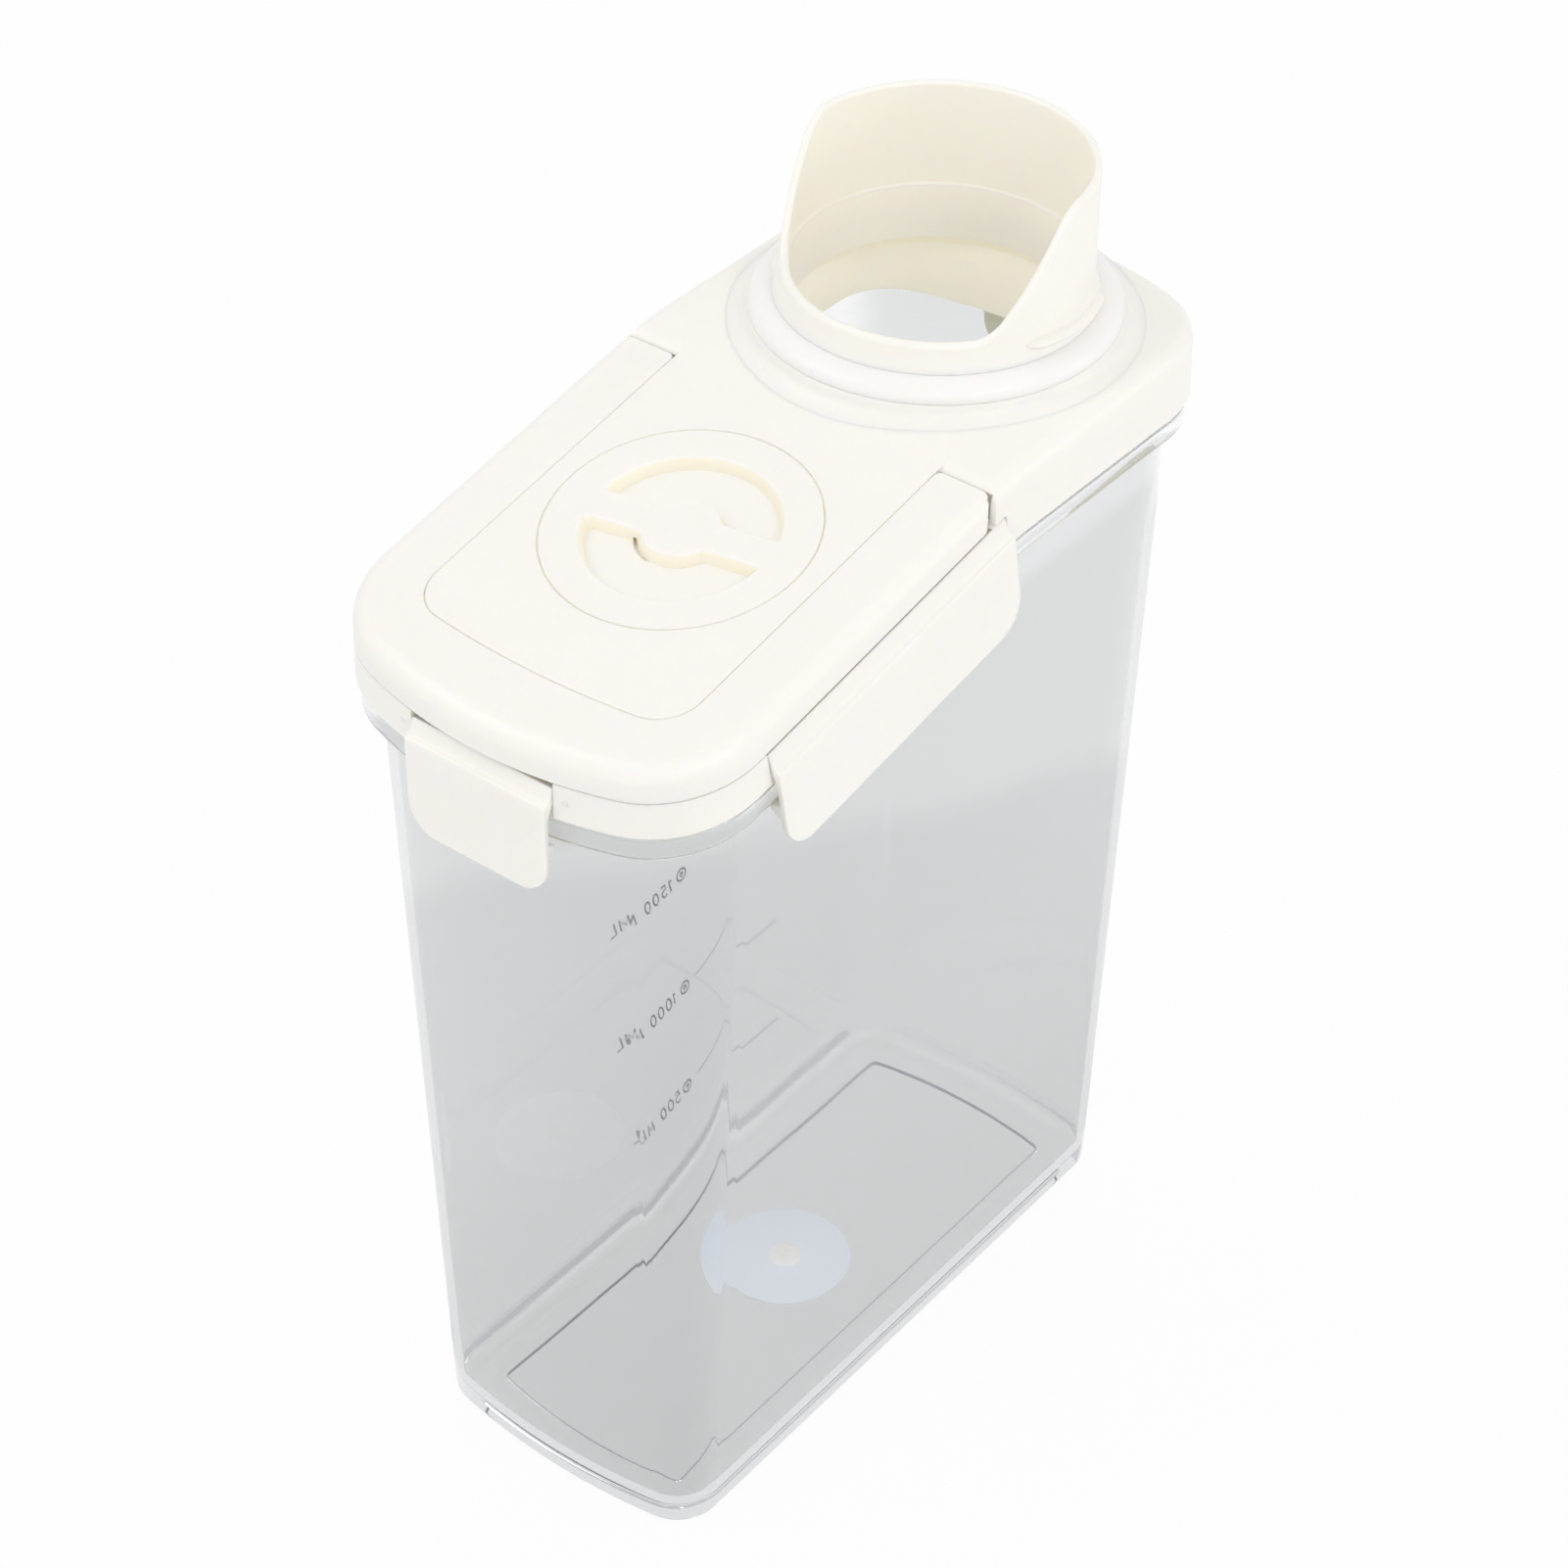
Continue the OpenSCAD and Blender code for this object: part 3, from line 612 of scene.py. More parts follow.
def row_solid(ys, half, d0, d1):
    """Solid between two depths, of rows across the lid with a half width at each y."""
    b, rows = Build(), []
    for y, w in zip(ys, half):
        z = float(lid_top(y))
        rows.append([(-w, y, z - d0), (w, y, z - d0), (w, y, z - d1), (-w, y, z - d1)])
    b.loft(rows, ends=True)
    return b


def half_width(plan, y):
    """Half width of an outline at y."""
    right = plan[:len(plan) // 2 + 1]
    return np.interp(y, right[:, 1], right[:, 0])


def inside_rows(plan, y0, y1):
    """Rows from y0 to y1 that fill an outline, close together at the lid's bend."""
    lo, hi = plan[:, 1].min() + 0.01, plan[:, 1].max() - 0.01
    ys = [y for y in plan[:len(plan) // 2 + 1, 1] if max(lo, y0) < y < min(hi, y1)]
    at_bend = [BEND + k * BLEND / 2 for k in range(-2, 3)]
    ys = sorted(set(np.round(ys + [max(lo, y0), min(hi, y1)] + at_bend, 3)))
    ys = [y for y in ys if y0 - 1e-6 <= y <= y1 + 1e-6 and lo <= y <= hi]
    return ys, [max(float(half_width(plan, y)), 0.4) for y in ys]


def panel_plan(d):
    """The centre panel's outline, moved out by d."""
    return outline(PANEL_W + 2 * d, -2 * PANEL_FRONT + 2 * d, PANEL_R + d, PANEL_END)


def island(d, flare):
    """Upright core with the centre panel's outline, moved out by d, whose edge at the lid's
    surface rolls inwards with radius flare."""
    b = Build()
    rings = [at_z(panel_plan(d), 200), under_top(panel_plan(d), flare)]
    for a in np.radians([22.5, 45, 67.5, 90]):
        rings.append(under_top(panel_plan(d - flare * (1 - math.cos(a))),
                               flare * (1 - math.sin(a)) - 0.02))
    rings.append(at_z(panel_plan(d - flare), 300))
    b.loft(rings, ends=True)
    return b


def pivot_rod(r, side, x0, x1, lowest=None):
    """Rod along the handle's axis, flat below a depth where lowest is given."""
    p = circle(r, 48) + (PIVOT_Y, PIVOT_Z)
    if lowest is not None:
        p[:, 1] = np.maximum(p[:, 1], lid_top(p[:, 0]) - lowest)
    return tool(prism(p, *sorted((side * x0, side * x1))))


def handle_room():
    """Everything beside the centre panel, down to the ledge that the handle lies on."""
    y0, roll, far = HANDLE_END + GAP, 4.5, -200
    back = arc(y0 + roll, float(lid_top(y0 + roll)) - roll, roll, 180, 97, 8)
    room = tool(prism([(far, float(lid_top(far)) - REBATE), (y0, float(lid_top(y0)) - REBATE)]
                      + back + [(y0 + roll, 300), (far, 300)], -BIG, BIG))
    boolean(room, [tool(island(GAP, 0.45))], "DIFFERENCE")
    return room


def clip_rooms():
    """Room for each clip under the lid's edge, with a shallow step beside the handle."""
    cuts, play = [], 0.31
    for name, c, m in CLIPS:
        top = c[1] - REBATE
        back_x, half = -(top + play), c[0] / 2 + play
        cuts.append(tool(box((back_x, 60), (-half, half), (top - 40, top)), m))
        if name != "clip_back":
            end = half if name == "clip_front" else 37.0
            ends = (-half, end) if name != "clip_left" else (-end, half)
            cuts.append(tool(box((back_x + 0.01, 59), ends, (top - 10, top + 0.5)), m))
    return cuts


def lid():
    """The cover: a solid, hollowed from below, then cut for handle, clips, pins, cap and spout."""
    shell = Build()
    shell.loft_outlines([under_top(lid_plan(i), d) for i, d in EDGE_RINGS[::-1] + SKIRT_FOOT])
    ob = shell.object("lid_shell", CREAM)
    skirt_in, panel_in = lid_plan(SKIRT_T), panel_plan(-SKIRT_T)
    hollows = [row_solid(*inside_rows(skirt_in, -200, 200), REBATE + 2.23, DEEP_HOLLOW),
               row_solid(*inside_rows(panel_in, -200, 14.0), PANEL_T, HOLLOW),
               row_solid(*inside_rows(skirt_in, 11.2, 200), PANEL_T, HOLLOW)]
    boolean(ob, [tool(h) for h in hollows], "DIFFERENCE")
    boolean(ob, [handle_room()], "DIFFERENCE")
    cuts = clip_rooms()
    for side in (-1, 1):
        cuts.append(pivot_rod(POCKET_ROD, side, PANEL_W / 2 + GAP - 0.02, POCKET_END, REBATE + 1.4))
        cuts.append(pivot_rod(PIN_R, side, PANEL_W / 2 - 6.5, PANEL_W / 2 + 1))
    boolean(ob, cuts, "DIFFERENCE")
    well = revolve([(WELL_R, -40), (WELL_R, -0.3), (WELL_R + 0.1, -0.1), (WELL_R + 0.3, 0.02),
                    (WELL_R + 0.4, 6)], 160)
    bore = revolve([(SEAT_BORE, 230), (SEAT_BORE, 320)], 144, SPOUT_Y)
    boolean(ob, [tool(well, slope_matrix(CAP_S)), tool(bore)], "DIFFERENCE")
    weighted(ob)
    # the bore's inner faces get the lighter cream with its painted glow
    line_inside(ob, GLOWING_CREAM, 200, TOP + 2.5)
    return ob


def lid_plug():
    """Plug wall inside the container's neck, and the bearing blocks of the handle's pins."""
    plug = Build()
    o, i = lid_plan(PLUG_IN), lid_plan(PLUG_IN + PLUG_T)

    def head(plan):
        """The plug's upper end, lower where the handle has its room."""
        return under_top(plan, np.where(plan[:, 1] > 12.5, 2.0, REBATE + 1.7))
    rings = [head(o), under_top(o, PLUG_END - 1.0), under_top(lid_plan(PLUG_IN + 0.3), PLUG_END),
             under_top(lid_plan(PLUG_IN + 1.7), PLUG_END), under_top(i, PLUG_END - 0.4), head(i)]
    plug.loft(rings + rings[:1])
    y0, y1 = PIVOT_Y - 5, PIVOT_Y + 5
    for side in (-1, 1):
        x0, x1 = sorted((side * (PANEL_W / 2 - 6), side * (PANEL_W / 2 - 0.1)))
        plug.loft([[(x0, y0, z), (x1, y0, z), (x1, y1, z), (x0, y1, z)]
                   for z in (PIVOT_Z - 6, PIVOT_Z + 2.2)], ends=True)
    # the plug is made in the lighter cream with its painted glow, for light it would get through
    # the lid
    return plug.object("lid_plug", GLOWING_CREAM)


def lid_seat():
    """Raised seat round the spout, with its soft foot."""
    seat, rings, foot = Build(), [], 48.3
    profile = [(foot, -1.2), (foot, -0.03)]
    profile += [(foot - 5.0 * math.sin(a), SEAT_H * 0.86 * (1 - math.cos(a)) ** 1.25 + 0.01)
                for a in np.radians(np.arange(15, 91, 15))]
    profile += [(43.1, SEAT_H - 0.2), (42.8, SEAT_H), (40.0, SEAT_H), (SEAT_BORE, SEAT_H),
                (SEAT_BORE, -2.7), (40.0, -2.7)]
    for r, h in profile:
        c = circle(r, 144, SPOUT_Y)
        top = lid_top(c[:, 1])
        level = min(max(h / SEAT_H, 0.0), 1.0)
        rings.append(np.column_stack([c, top + h + (TOP - top) * level]))
    seat.loft(rings + rings[:1])
    ob = seat.object("lid_seat", CREAM, 50)
    # the bore's inner faces get the lighter cream with its painted glow
    line_inside(ob, GLOWING_CREAM, 200, TOP + 2.5)
    return ob


def lid_well():
    """Stepped ring under the panel that the desiccant cap and its cup sit in."""
    b = ring_solid([(34.6, -7.2), (34.6, -2.4), (WELL_R + 0.01, -2.4), (WELL_R + 0.01, -WELL_T),
                    (29.7, -WELL_T), (29.7, -4.8), (27.4, -4.8), (27.4, -15), (29.6, -15),
                    (29.6, -7.2)], 160)
    return b.object("lid_well", CREAM, 40, slope_matrix(CAP_S))


def well_ledge():
    """Small step round the cap, just under the surface of the joint, in the lighter cream with a
    painted glow so that the joint reads light.
    """
    b = ring_solid([(CAP_R + 0.05, -1.3), (CAP_R + 0.05, -0.75), (WELL_R + 0.05, -0.7),
                    (WELL_R + 0.05, -1.3)], 160)
    return b.object("well_ledge", GLOWING_CREAM, 40, slope_matrix(CAP_S))


def panel_ledge():
    """The same along the centre panel's edge."""
    b = Build()
    plans = [(panel_plan(GAP - 0.05), 0.75), (panel_plan(2 * GAP - 0.06), 0.8),
             (panel_plan(2 * GAP - 0.06), 1.3), (panel_plan(GAP - 0.05), 1.3)]
    side = plans[0][0][:len(plans[0][0]) // 2 + 1, 1]
    last = int(np.argmax(side > HANDLE_END - 3.0)) - 1
    b.loft([[point_under(p[i], d) for p, d in plans] for i in range(-last, last + 1)], ends=True)
    # in the lighter cream with its painted glow
    return b.object("panel_ledge", GLOWING_CREAM, 40)


# ---- handle ----------------------------------------------------------------------
ARM_HALF = LID_W / 2 - 0.3


def about_pivot(points):
    """Turns (y, z) points with the slope and moves them to the handle's pivot."""
    return np.array(points) @ np.array([[COS, SIN], [-SIN, COS]]) + (PIVOT_Y, PIVOT_Z)


def arm_cuts(side):
    """Tools for one arm: its rounded end, the pin's bore, and the two corners of the end that
    turn in the lid's pocket."""
    x0, r_in, r_out, roll = PANEL_W / 2 + 2 * GAP, 1.6, 4.0, 0.7
    path = [(x0 - 3, HANDLE_END - r_in)] + arc(x0 + r_in, HANDLE_END - r_in, r_in, 180, 90, 6)
    path += arc(ARM_HALF - r_out, HANDLE_END - r_out, r_out, 90, 0, 8)
    path += [(80, HANDLE_END - r_out)]
    p = np.array(path)
    d = np.gradient(p, axis=0)
    d /= np.linalg.norm(d, axis=1)[:, None]
    out = np.column_stack([-d[:, 1], d[:, 0]])      # towards +y, away from the arm
    steps = [(0.0, 60.0), (0.0, roll)]
    steps += [(roll * (1 - math.cos(a)), roll * (1 - math.sin(a)))
              for a in np.radians([30, 60, 90])]
    steps += [(roll, -40.0)]
    end, rings = Build(), []
    for move, depth in steps:
        q = np.vstack([p - out * move, [(80, 40), (x0 - 3, 40)]])
        z = lid_top(np.minimum(q[:, 1], HANDLE_END)) - depth
        rings.append(np.column_stack([q * (side, 1), z]))
    end.loft(rings, ends=True)
    cuts = [tool(end), pivot_rod(PIN_R + 0.05, side, 30, 47)]
    lower = arc(0, 0, PIVOT_IN, -90, 0, 8) + [(14, 0), (14, -9), (0, -9)]
    upper = arc(0, 0, PIVOT_IN + 0.05, 0, 64, 10) + [(1.95, 9), (14, 9), (14, 0)]
    for corner, x in ((lower, 30), (upper, POCKET_END - 0.2)):
        cuts.append(tool(prism(about_pivot(corner), *sorted((side * x, side * 60)))))
    return cuts


def handle():
    """Swept along the U from arm to arm, hollow below, then trimmed at the arms' ends."""
    roll, roof, hollow_end = 0.5, 2.5, -7.0
    inner = [(panel_plan(2 * GAP + roll * (1 - math.cos(a))), roll * (1 - math.sin(a)))
             for a in np.radians([90, 60, 30, 0])]
    edge, lip = lid_plan(EDGE_RINGS[-1][0]), inner[0][0]
    loops = [(lid_plan(0.45), HANDLE_T), (lid_plan(0.24), HANDLE_T - 0.25)]
    loops += [(lid_plan(i), d) for i, d in EDGE_RINGS]
    loops += [(edge + (lip - edge) * t, 0.0) for t in (0.33, 0.66)]
    loops += inner + [(panel_plan(2 * GAP), HANDLE_T)]
    near, far = panel_plan(2 * GAP + 2.2), lid_plan(2.6)
    last = int(np.argmax(edge[:len(edge) // 2 + 1, 1] > 10.0))
    b, rings = Build(), []
    for i in range(-last, last + 1):
        top = roof if edge[i][1] < hollow_end else HANDLE_T
        channel = [(near, HANDLE_T), (near, top), (far, top), (far, HANDLE_T)]
        rings.append([point_under(p[i], d) for p, d in loops + channel])
    b.loft(rings, ends=True)
    ob = b.object("handle_frame", CREAM)
    boolean(ob, arm_cuts(-1) + arm_cuts(1), "DIFFERENCE")
    weighted(ob)
    return ob


# ---- clips -----------------------------------------------------------------------
CORNER = 8.0


def clip_section(c):
    """A clip's section as four runs of (x, z) points: its face from the upper edge down, the
    outside and the inside of the flap's foot, and the back with the hook and the barrel."""
    out, bottom, hook = c[2] + c[3], c[1] - CLIP_DROP, c[1] - c[4]
    inner, tip = out - CLIP_T, c[2] - LIP_IN - 1.2
    bx, bz = c[5]
    face = [(bx - 0.25, bz - 0.05), (bx, bz), (bx + 0.35, bz - 0.25)]
    fold = (out - 0.45, c[1] - 13.1)
    for t in (0.15, 0.3, 0.45, 0.6, 0.75, 0.9):
        x = bx + 0.35 + (fold[0] - bx - 0.35) * t
        z = bz - 0.25 + (fold[1] - bz + 0.25) * (1 - (1 - t) ** 2.1)
        face.append((x, z))
    face += [fold, (out - 0.18, fold[1] - 0.2), (out - 0.04, fold[1] - 0.5), (out, fold[1] - 0.95),
             (out, -6), (out, -12)]
    down = [bottom + CORNER * (1 - math.sin(a)) for a in np.radians(np.arange(0, 76, 7.5))]
    outer = [(out, z) for z in down] + [(out, bottom + 0.25), (out - 0.2, bottom + 0.06)]
    inside = [(inner, z) for z in down] + [(inner, bottom + 0.25), (inner + 0.2, bottom + 0.06)]
    back = [(inner, hook - 3.8 - 0.3), (inner + 0.02, hook - 3.75), (tip + 0.05, hook - 1.6),
            (tip, hook - 1.3), (tip, hook - 0.35), (tip + 0.3, hook - 0.02), (inner, hook),
            (inner, hook + 1), (inner, -5.0), (inner - 0.15, -4.2)]
    barrel = [(2 * math.cos(a), 2 * math.sin(a)) for a in np.radians(np.arange(-65, -251, -15))]
    return face, outer, inside, back + barrel


def clip(name, c, matrix):
    """A clip swept from end to end, with eased ends and round lower corners."""
    face, outer, inside, upper = clip_section(c)
    path = np.array(face + outer + inside[::-1] + upper)
    drop = np.clip(c[1] - CLIP_DROP + CORNER - path[:, 1], 0, CORNER)
    half = c[0] / 2 - CORNER + np.sqrt(CORNER ** 2 - drop ** 2)
    inward = normals_of(path)
    x, z = path.T
    if np.sum(x * np.roll(z, -1) - np.roll(x, -1) * z) < 0:     # it runs clockwise
        inward = -inward
    edge = 0.42
    b, rings = Build(), []
    spots = [(-1, a) for a in (90, 60, 30, 0)]
    spots += [(t, 0) for t in np.linspace(-0.9, 0.9, 19)]
    spots += [(1, a) for a in (0, 30, 60, 90)]
    for t, a in spots:
        a = math.radians(a)
        shrink, back = edge * (1 - math.cos(a)), edge * (1 - math.sin(a))
        q = path + inward * shrink
        y = t * half if abs(t) < 1 else t * (half - back)
        rings.append(np.column_stack([q[:, 0], y, q[:, 1]]))
    ids = b.loft(rings)
    nf, no = len(face), len(outer)
    for ring in (ids[0], ids[-1]):
        o = ring[nf:nf + no]
        i = ring[nf + no:nf + 2 * no][::-1]
        for k in range(no - 1):
            b.f.append((o[k], o[k + 1], i[k + 1], i[k]))
        b.f.append(tuple(ring[:nf + 1] + [i[0]] + ring[nf + 2 * no:]))
    ob = b.object(name + "_flap", CREAM, 35, matrix)
    outward = matrix.to_3x3() @ Vector((1, 0, 0))
    # the inner faces get the lighter cream with a painted glow, for light through the thin flap
    paint(ob, GLOWING_CREAM, lambda face: face.normal.dot(outward) < -0.8)
    return ob


# ---- spout -----------------------------------------------------------------------
# heights of the front lip, of the back wall, of the foot and of the step inside
LOW, HIGH, SPOUT_FOOT, STEP_Z = 276.7, 303.5, 263.1, 277.2


def blend_max(a, b, k):
    """The greater of two values, with a soft change over k."""
    h = max(k - abs(a - b), 0.0) / k
    return max(a, b) + h * h * k / 4


def rim_height(y):
    """Height of the spout's rim where it is y behind the spout's axis."""
    line = 278.3 + (y + 19.0) * math.tan(math.radians(53))
    return blend_max(LOW, -blend_max(-HIGH, -line, 5.5), 4.0)


def spout():
    """The spout's wall, one upright section per angle, and the ribs on its foot."""
    columns = []
    for a in np.linspace(0, 2 * math.pi, 288, endpoint=False):
        h = rim_height(SPOUT_R * math.sin(a))
        up = min(max((h - LOW) / 3.0, 0.0), 1.0)
        r_in = BORE_R + 0.6 * up
        step = min(STEP_Z, h - 1.7)
        rim = (SPOUT_R - r_in) / 2
        mid = (SPOUT_R + r_in) / 2
        col = [(BORE_R, SPOUT_FOOT), (SEAT_BORE, SPOUT_FOOT), (SEAT_BORE, 269.9),
               (37.45, 269.95), (37.5, 270.5), (36.95, 271.4), (36.4, 272.6), (36.05, 273.8),
               (35.85, 274.9)]
        col += [(SPOUT_R, min(275.4 + (h - rim - 275.4) * t, h - rim)) for t in (0.0, 0.5)]
        col += [(mid + rim * math.cos(t), h - rim + rim * math.sin(t))
                for t in np.radians([0, 30, 60, 90, 120, 150, 180])]
        col += [(r_in, step + (h - rim - step) * 0.5), (r_in, step + 0.35),
                (r_in - 0.15 * up, step), (BORE_R, step - 0.5), (BORE_R, 268)]
        columns.append([(r * math.cos(a), SPOUT_Y + r * math.sin(a), z) for r, z in col])
    b = Build()
    b.loft(columns + columns[:1])
    ob = b.object("spout_wall", SPOUT_CREAM, 42)
    # ribs that a cap turns under
    ribs = Build()
    for turn in (0.0, math.pi):
        rings = []
        for k in range(41):
            t = k / 40
            a = math.radians(-20 + 53 * t) + turn
            fade = math.sin(math.pi * min(t / 0.12, (1 - t) / 0.12, 1.0) / 2) ** 0.7
            zc = 273.6 - 2.6 * t
            w, hgt = 1.0 + 1.5 * fade, 0.15 + 0.95 * fade
            ring = []
            for s in np.radians(np.arange(0, 360, 36)):
                r = 35.7 + w * max(math.cos(s), -0.2)
                ring.append((r * math.cos(a), SPOUT_Y + r * math.sin(a), zc + hgt * math.sin(s)))
            rings.append(ring)
        ribs.loft(rings, ends=True)
    boolean(ob, [tool(ribs)], "UNION", 42)
    weighted(ob)
    # the inner faces get the cream with its faint painted glow
    line_inside(ob, SPOUT_INSIDE_GLOW, 260, 310)
    return ob


def seal():
    """Silicone ring with a domed top, on the seat."""
    r, w, z, h = 43.0, 5.6, 266.1, 3.85
    dome = [(r - w + w * math.cos(a), z + h * math.sin(a) ** 0.9)
            for a in np.radians(np.arange(0, 91, 10))]
    profile = [(36.15, 265.72), (42.6, 265.72), (42.9, 265.85)] + dome
    profile += [(36.5, 269.9), (36.15, 269.7)]
    b = ring_solid(profile, 144, SPOUT_Y)
    return b.object("spout_ring_seal", SEAL, 50)


# ---- desiccant cap ---------------------------------------------------------------
POCKET_R, POCKET_T, BAR, HUB_R, BAR_TURN = 21.6, 3.0, 10.0, 9.5, math.radians(9)
# the plug under the cap: its outside, the groove for its seal, and its hollow
PLUG_R, GROOVE_R, HOLLOW_R = 24.8, 24.15, 22.8


def resample(path, n):
    """n points at even distances along a closed path."""
    p = np.asarray(path, float)
    p = np.vstack([p, p[:1]])
    s = np.concatenate([[0], np.cumsum(np.linalg.norm(np.diff(p, axis=0), axis=1))])
    t = np.linspace(0, s[-1], n, endpoint=False)
    return np.column_stack([np.interp(t, s, p[:, 0]), np.interp(t, s, p[:, 1])])


def pocket_path(sign, wider):
    """Outline of a finger pocket, made wider all round: an arc, the bar's edge and the hub."""
    r, y, hub_r = POCKET_R + wider, BAR / 2 - wider, HUB_R - wider
    tip, hub = math.asin(y / r), math.asin(y / hub_r)
    path = [(r * math.cos(a), r * math.sin(a)) for a in np.linspace(-tip, -math.pi + tip, 120)]
    path += [(hub_r * math.cos(a), hub_r * math.sin(a))
             for a in np.linspace(math.pi + hub, 2 * math.pi - hub, 60)]
    p = resample(path, 400)
    # corners are rounded, the one at the lower left most
    corner = np.linalg.norm(p - (-r * math.cos(tip), -y), axis=1)
    soft = (1 - corner / 7).clip(0, 1)
    for k in range(60):
        avg = (np.roll(p, 1, 0) + np.roll(p, -1, 0) + 2 * p) / 4
        keep = 1.0 if k < 5 else soft[:, None] ** 0.5 if sign < 0 else 0.0
        p = p + (avg - p) * keep
    turn = BAR_TURN + (math.pi if sign > 0 else 0)
    rot = np.array([[math.cos(turn), math.sin(turn)], [-math.sin(turn), math.cos(turn)]])
    return p @ rot


def pocket_tool(sign):
    """Cuts one finger pocket, wider at the top, its wall steep and rolled into the floor."""
    b, rings = Build(), [at_z(pocket_path(sign, 1.5), 4.0)]
    for t in np.linspace(0, 1, 9):
        rings.append(at_z(pocket_path(sign, 1.3 - 1.6 * t), 0.03 - (POCKET_T + 0.03) * (
            1 - math.cos(t * math.pi / 2) ** 0.8)))
    b.loft(rings, ends=True)
    return tool(b)


def trench_tool():
    """Cuts a crescent beside the hub, deeper than the pocket's floor."""
    n, r = 30, HUB_R + 0.32
    a = np.linspace(math.radians(196), math.radians(262), n)
    wide = HUB_R + 0.4 + 0.75 * np.sin(np.linspace(0, math.pi, n)) ** 0.6
    inner = np.column_stack([r * np.cos(a), r * np.sin(a)])
    outer = np.column_stack([wide * np.cos(a), wide * np.sin(a)])
    loop = np.vstack([inner, outer[::-1]])
    b = Build()
    b.loft([at_z(loop, -3.9), at_z(loop, 1.0 - POCKET_T)], ends=True)
    return tool(b)


def pocket_wall(face):
    """Whether a face of the cap belongs to a wall of the pockets or of the trench."""
    x, y, z = face.center / MM
    return abs(face.normal.z) < 0.72 and -4.5 < z < -0.3 and math.hypot(x, y) < POCKET_R + 1.5


def cap():
    """Round cap with its plug, two finger pockets and a grip bar; made flat, then tilted."""
    b = revolve([(0.01, -9.9), (HOLLOW_R, -9.9), (PLUG_R - 0.2, -9.9), (PLUG_R, -9.7),
                 (PLUG_R, -8.9), (GROOVE_R, -8.9), (GROOVE_R, -7.5), (PLUG_R, -7.5),
                 (PLUG_R, -3.35), (CAP_R - 0.2, -3.35), (CAP_R, -3.2), (CAP_R, -0.35),
                 (CAP_R - 0.1, -0.1), (CAP_R - 0.35, 0.0), (0.01, 0.0)], 160)
    ob = b.object("desiccant_cap_disc", CREAM)
    under = revolve([(HOLLOW_R, -20), (HOLLOW_R, -5.4), (0.01, -5.4)], 96)
    boolean(ob, [pocket_tool(-1), pocket_tool(1), tool(under)], "DIFFERENCE", 38)
    boolean(ob, [trench_tool()], "DIFFERENCE", 38)
    # the pocket and trench walls get the painted shade
    paint(ob, POCKET_SHADE, pocket_wall)
    ob.data.transform(slope_matrix(CAP_S))
    weighted(ob)
    return ob


# ---- printed scale ---------------------------------------------------------------
# the strokes of each sign, on a grid 1.9 high, and how far off the next sign stands
STROKES = {
    "0": [[(0.5 + 0.5 * math.cos(t), 0.95 + 0.95 * math.sin(t))
           for t in np.linspace(0, 2 * math.pi, 17)]],
    "1": [[(0.15, 1.5), (0.6, 1.9), (0.6, 0.0)]],
    "5": [[(0.95, 1.9), (0.2, 1.9), (0.12, 1.05), (0.5, 1.2), (0.9, 0.95), (1.0, 0.55), (0.8, 0.12),
           (0.4, 0.0), (0.05, 0.2)]],
    "M": [[(0, 0), (0.1, 1.9), (0.6, 0.5), (1.1, 1.9), (1.2, 0)]],
    "L": [[(0, 1.9), (0, 0), (0.85, 0)]],
    "o": [[(0.95 + 0.9 * math.cos(t), 0.95 + 0.9 * math.sin(t))
           for t in np.linspace(0, 2 * math.pi, 19)],
          [(0.95 + 0.3 * math.cos(t), 0.95 + 0.3 * math.sin(t)) for t in np.linspace(0, 5.6, 8)]],
}
WIDE = {"0": 1.55, "1": 1.15, "5": 1.55, "M": 1.75, "L": 1.3, "o": 2.5, " ": 1.1}
WALL_SLOPE = (LID_W / 2 - NECK_IN - FOOT_W / 2) / (NECK_Z - FOOT_EDGE)


def on_left_wall(u, v, lift):
    """Point u along the wall towards the front, at height v, just outside the left wall."""
    x = FOOT_W / 2 + WALL_SLOPE * (v - FOOT_EDGE) + lift
    return (-x, -u, v)


def ribbon(b, path, width):
    """A flat stroke of ink along a path on the left wall."""
    p = np.asarray(path, float)
    d = np.gradient(p, axis=0)
    d /= np.maximum(np.linalg.norm(d, axis=1), 1e-9)[:, None]
    side = np.column_stack([-d[:, 1], d[:, 0]]) * width / 2
    b.loft([[on_left_wall(*q, lift) for q, lift in
             ((c + e, 0.01), (c + e, 0.05), (c - e, 0.05), (c - e, 0.01))]
            for c, e in zip(p, side)], ends=True)


def marks():
    """The printed volume marks, and two short lines beside them."""
    b, size, slant = Build(), 2.1, 0.22
    for value, z in (("500", 28.0), ("1000", 62.0), ("1500", 99.0)):
        u = -17.0
        for ch in "o" + value + " ML":
            for stroke in STROKES.get(ch, []):
                ribbon(b, [(u + (x + slant * y) * size * 1.15, z + y * size)
                           for x, y in stroke], 0.55)
            u += WIDE[ch] * size * 1.27
    for z in (28.0, 62.0):
        ribbon(b, [(x, z + 2.0) for x in (-48.0, -41, -34, -27, -20.5)], 0.26)
    return b.object("scale_marks", INK, 30)


# ---- making and placing ----------------------------------------------------------
def place(ob, body, slot, *replaced):
    """Lets a piece ride on a body, in place of CAD nodes; slot is not used."""
    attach(ob, body)
    if replaced:
        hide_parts(*replaced)


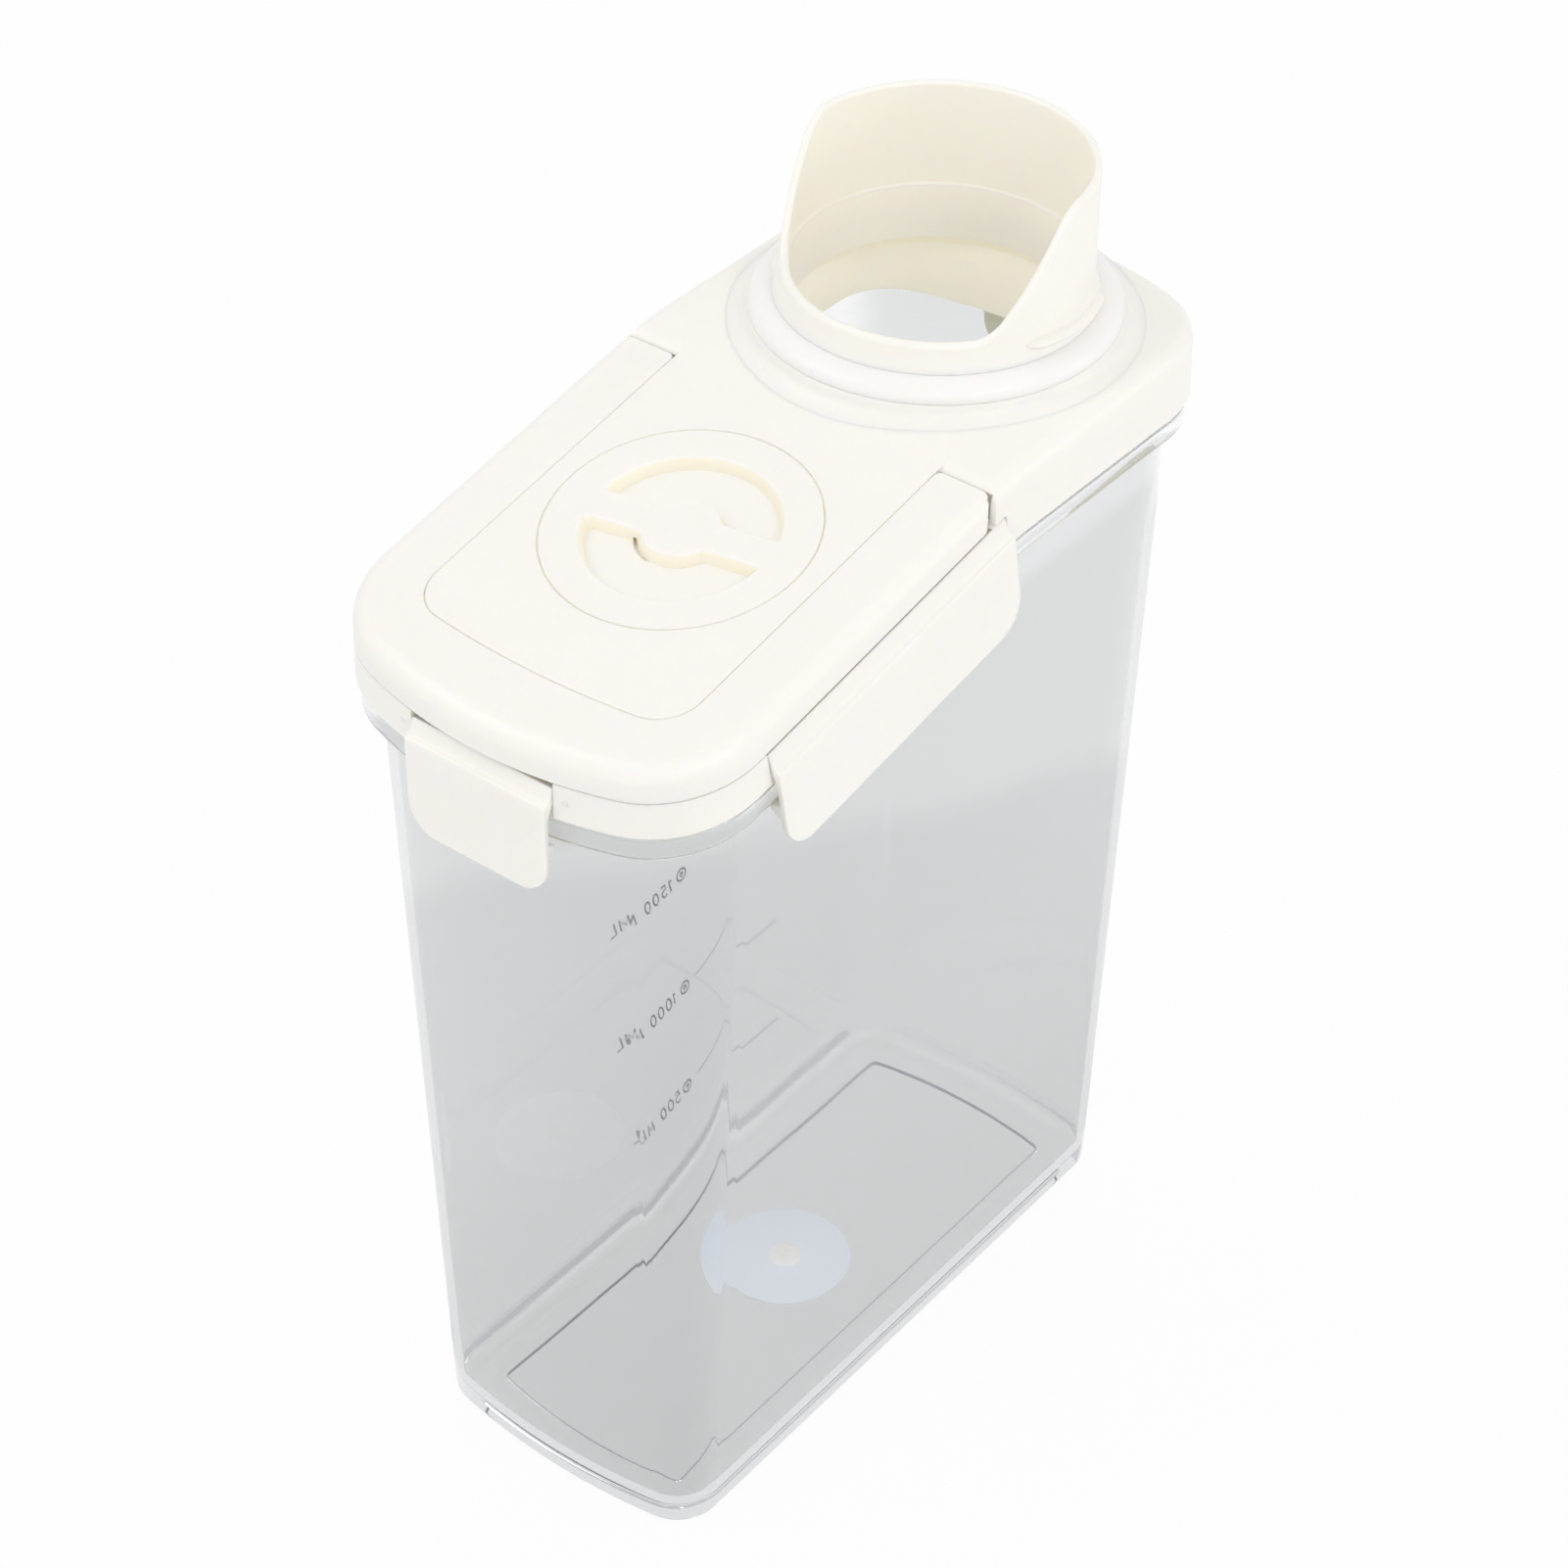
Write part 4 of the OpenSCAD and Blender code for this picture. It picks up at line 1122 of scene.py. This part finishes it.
place(container(), "base", "clear_plastic", "container")
place(floor_disc(), "base", "clear_plastic")
place(gate(), "base", "clear_plastic")
place(painted_panel_shade(), "base", "clear_plastic")
place(marks(), "base", "clear_plastic")
place(lid(), "base", "cream_plastic", "lid")
for made in (lid_plug(), lid_seat(), lid_well(), well_ledge(), panel_ledge()):
    place(made, "base", "cream_plastic")
place(spout(), "base", "cream_plastic", "spout")
place(seal(), "base", "silicone", "spout_seal")
place(handle(), "handle", "cream_plastic", "handle")
place(cap(), "desiccant_cap", "cream_plastic", "desiccant_cap")
for clip_name, clip_sizes, clip_place in CLIPS:
    place(clip(clip_name, clip_sizes, clip_place), clip_name, "cream_plastic", clip_name)

# solids of the CAD that stay: the pins, the two seals and the cup
STAYING = {"lid_gasket": GASKET, "desiccant_seal": GASKET, "desiccant_cup": CUP}
for node, ob in nodes.items():
    look = ROD if "pin" in node else STAYING.get(node)
    if look and ob.material_slots:
        for s in ob.material_slots:
            s.link, s.material = "OBJECT", look
    elif look:
        ob.data.materials.append(look)

# ---- floor, light and camera -----------------------------------------------------
def sees_white(n, l):
    """1 on rays that meet the white background: from the camera, off gloss, through glass."""
    path = n.new("ShaderNodeLightPath")
    seen = path.outputs["Is Camera Ray"]
    for kind in ("Is Glossy Ray", "Is Transmission Ray"):
        seen = math_node(n, l, "MAXIMUM", seen, path.outputs[kind])
    return seen


FLOOR_HALF, FLOOR_Z = 6000, -0.3
ground = Build()
ground.loft([[(x, y, FLOOR_Z) for x in (-FLOOR_HALF, FLOOR_HALF)]
             for y in (-FLOOR_HALF, FLOOR_HALF)], closed=False)
floor_look, n, l, p = material("pale_floor")
p.inputs["Base Color"].default_value = (0.95, 0.95, 0.95, 1)
p.inputs["Roughness"].default_value = 0.9
white = n.new("ShaderNodeEmission")
white.inputs["Color"].default_value = (1, 1, 1, 1)
white.inputs["Strength"].default_value = 1.0
share = math_node(n, l, "MULTIPLY", sees_white(n, l), 0.92)
l.new(mix_shader(n, l, share, p.outputs[0], white.outputs[0]),
      n["Material Output"].inputs["Surface"])
floor = ground.object("floor", floor_look)

# the world lights the part a little less than it shows behind it
world = bpy.data.worlds.new("studio")
bpy.context.scene.world = world
world.use_nodes = True
n, l = world.node_tree.nodes, world.node_tree.links
light, backdrop = n["Background"], n.new("ShaderNodeBackground")
for shader, strength in ((light, 0.77), (backdrop, 1.0)):
    shader.inputs["Color"].default_value = (1, 1, 1, 1)
    shader.inputs["Strength"].default_value = strength
l.new(mix_shader(n, l, sees_white(n, l), light.outputs[0], backdrop.outputs[0]),
      n["World Output"].inputs["Surface"])


def soft_light(name, where, size, power):
    """A square lamp that looks at the middle of the container."""
    lamp = bpy.data.lights.new(name, "AREA")
    lamp.shape, lamp.size, lamp.size_y, lamp.energy = "RECTANGLE", size, size, power
    ob = bpy.data.objects.new(name, lamp)
    bpy.context.scene.collection.objects.link(ob)
    ob.location = where
    aim = Vector((0, 0, 0.15)) - Vector(where)
    ob.rotation_euler = aim.to_track_quat("-Z", "Y").to_euler()


soft_light("key", (-0.9, -0.8, 1.5), 0.9, 3.9)
soft_light("front", (0.95, -1.25, 1.5), 0.7, 3.0)
soft_light("side", (1.4, -0.3, 1.5), 0.6, 4.0)
soft_light("rim", (1.45, 1.15, 0.7), 0.5, 2.0)

# the photograph's viewing angle, its slight roll and its lens
AZ, EL, ROLL = math.radians(38.09), math.radians(38.62), math.radians(0.46)
right0 = Vector((math.cos(AZ), math.sin(AZ), 0))
back = Vector((math.sin(AZ) * math.cos(EL), -math.cos(AZ) * math.cos(EL), math.sin(EL)))
up0 = back.cross(right0)
right = right0 * math.cos(ROLL) + up0 * math.sin(ROLL)
up = up0 * math.cos(ROLL) - right0 * math.sin(ROLL)
turn = Matrix((right, up, back)).transposed().to_4x4()
cam_data = bpy.data.cameras.new("camera")
cam_data.lens, cam_data.sensor_width, cam_data.sensor_fit = 91.19, 36.0, "HORIZONTAL"
cam_data.clip_end = 50
camera = bpy.data.objects.new("camera", cam_data)
bpy.context.scene.collection.objects.link(camera)
camera.matrix_world = Matrix.Translation((0.45139, -0.57558, 0.74389)) @ turn
bpy.context.scene.camera = camera
bpy.context.scene.view_settings.view_transform = "Standard"
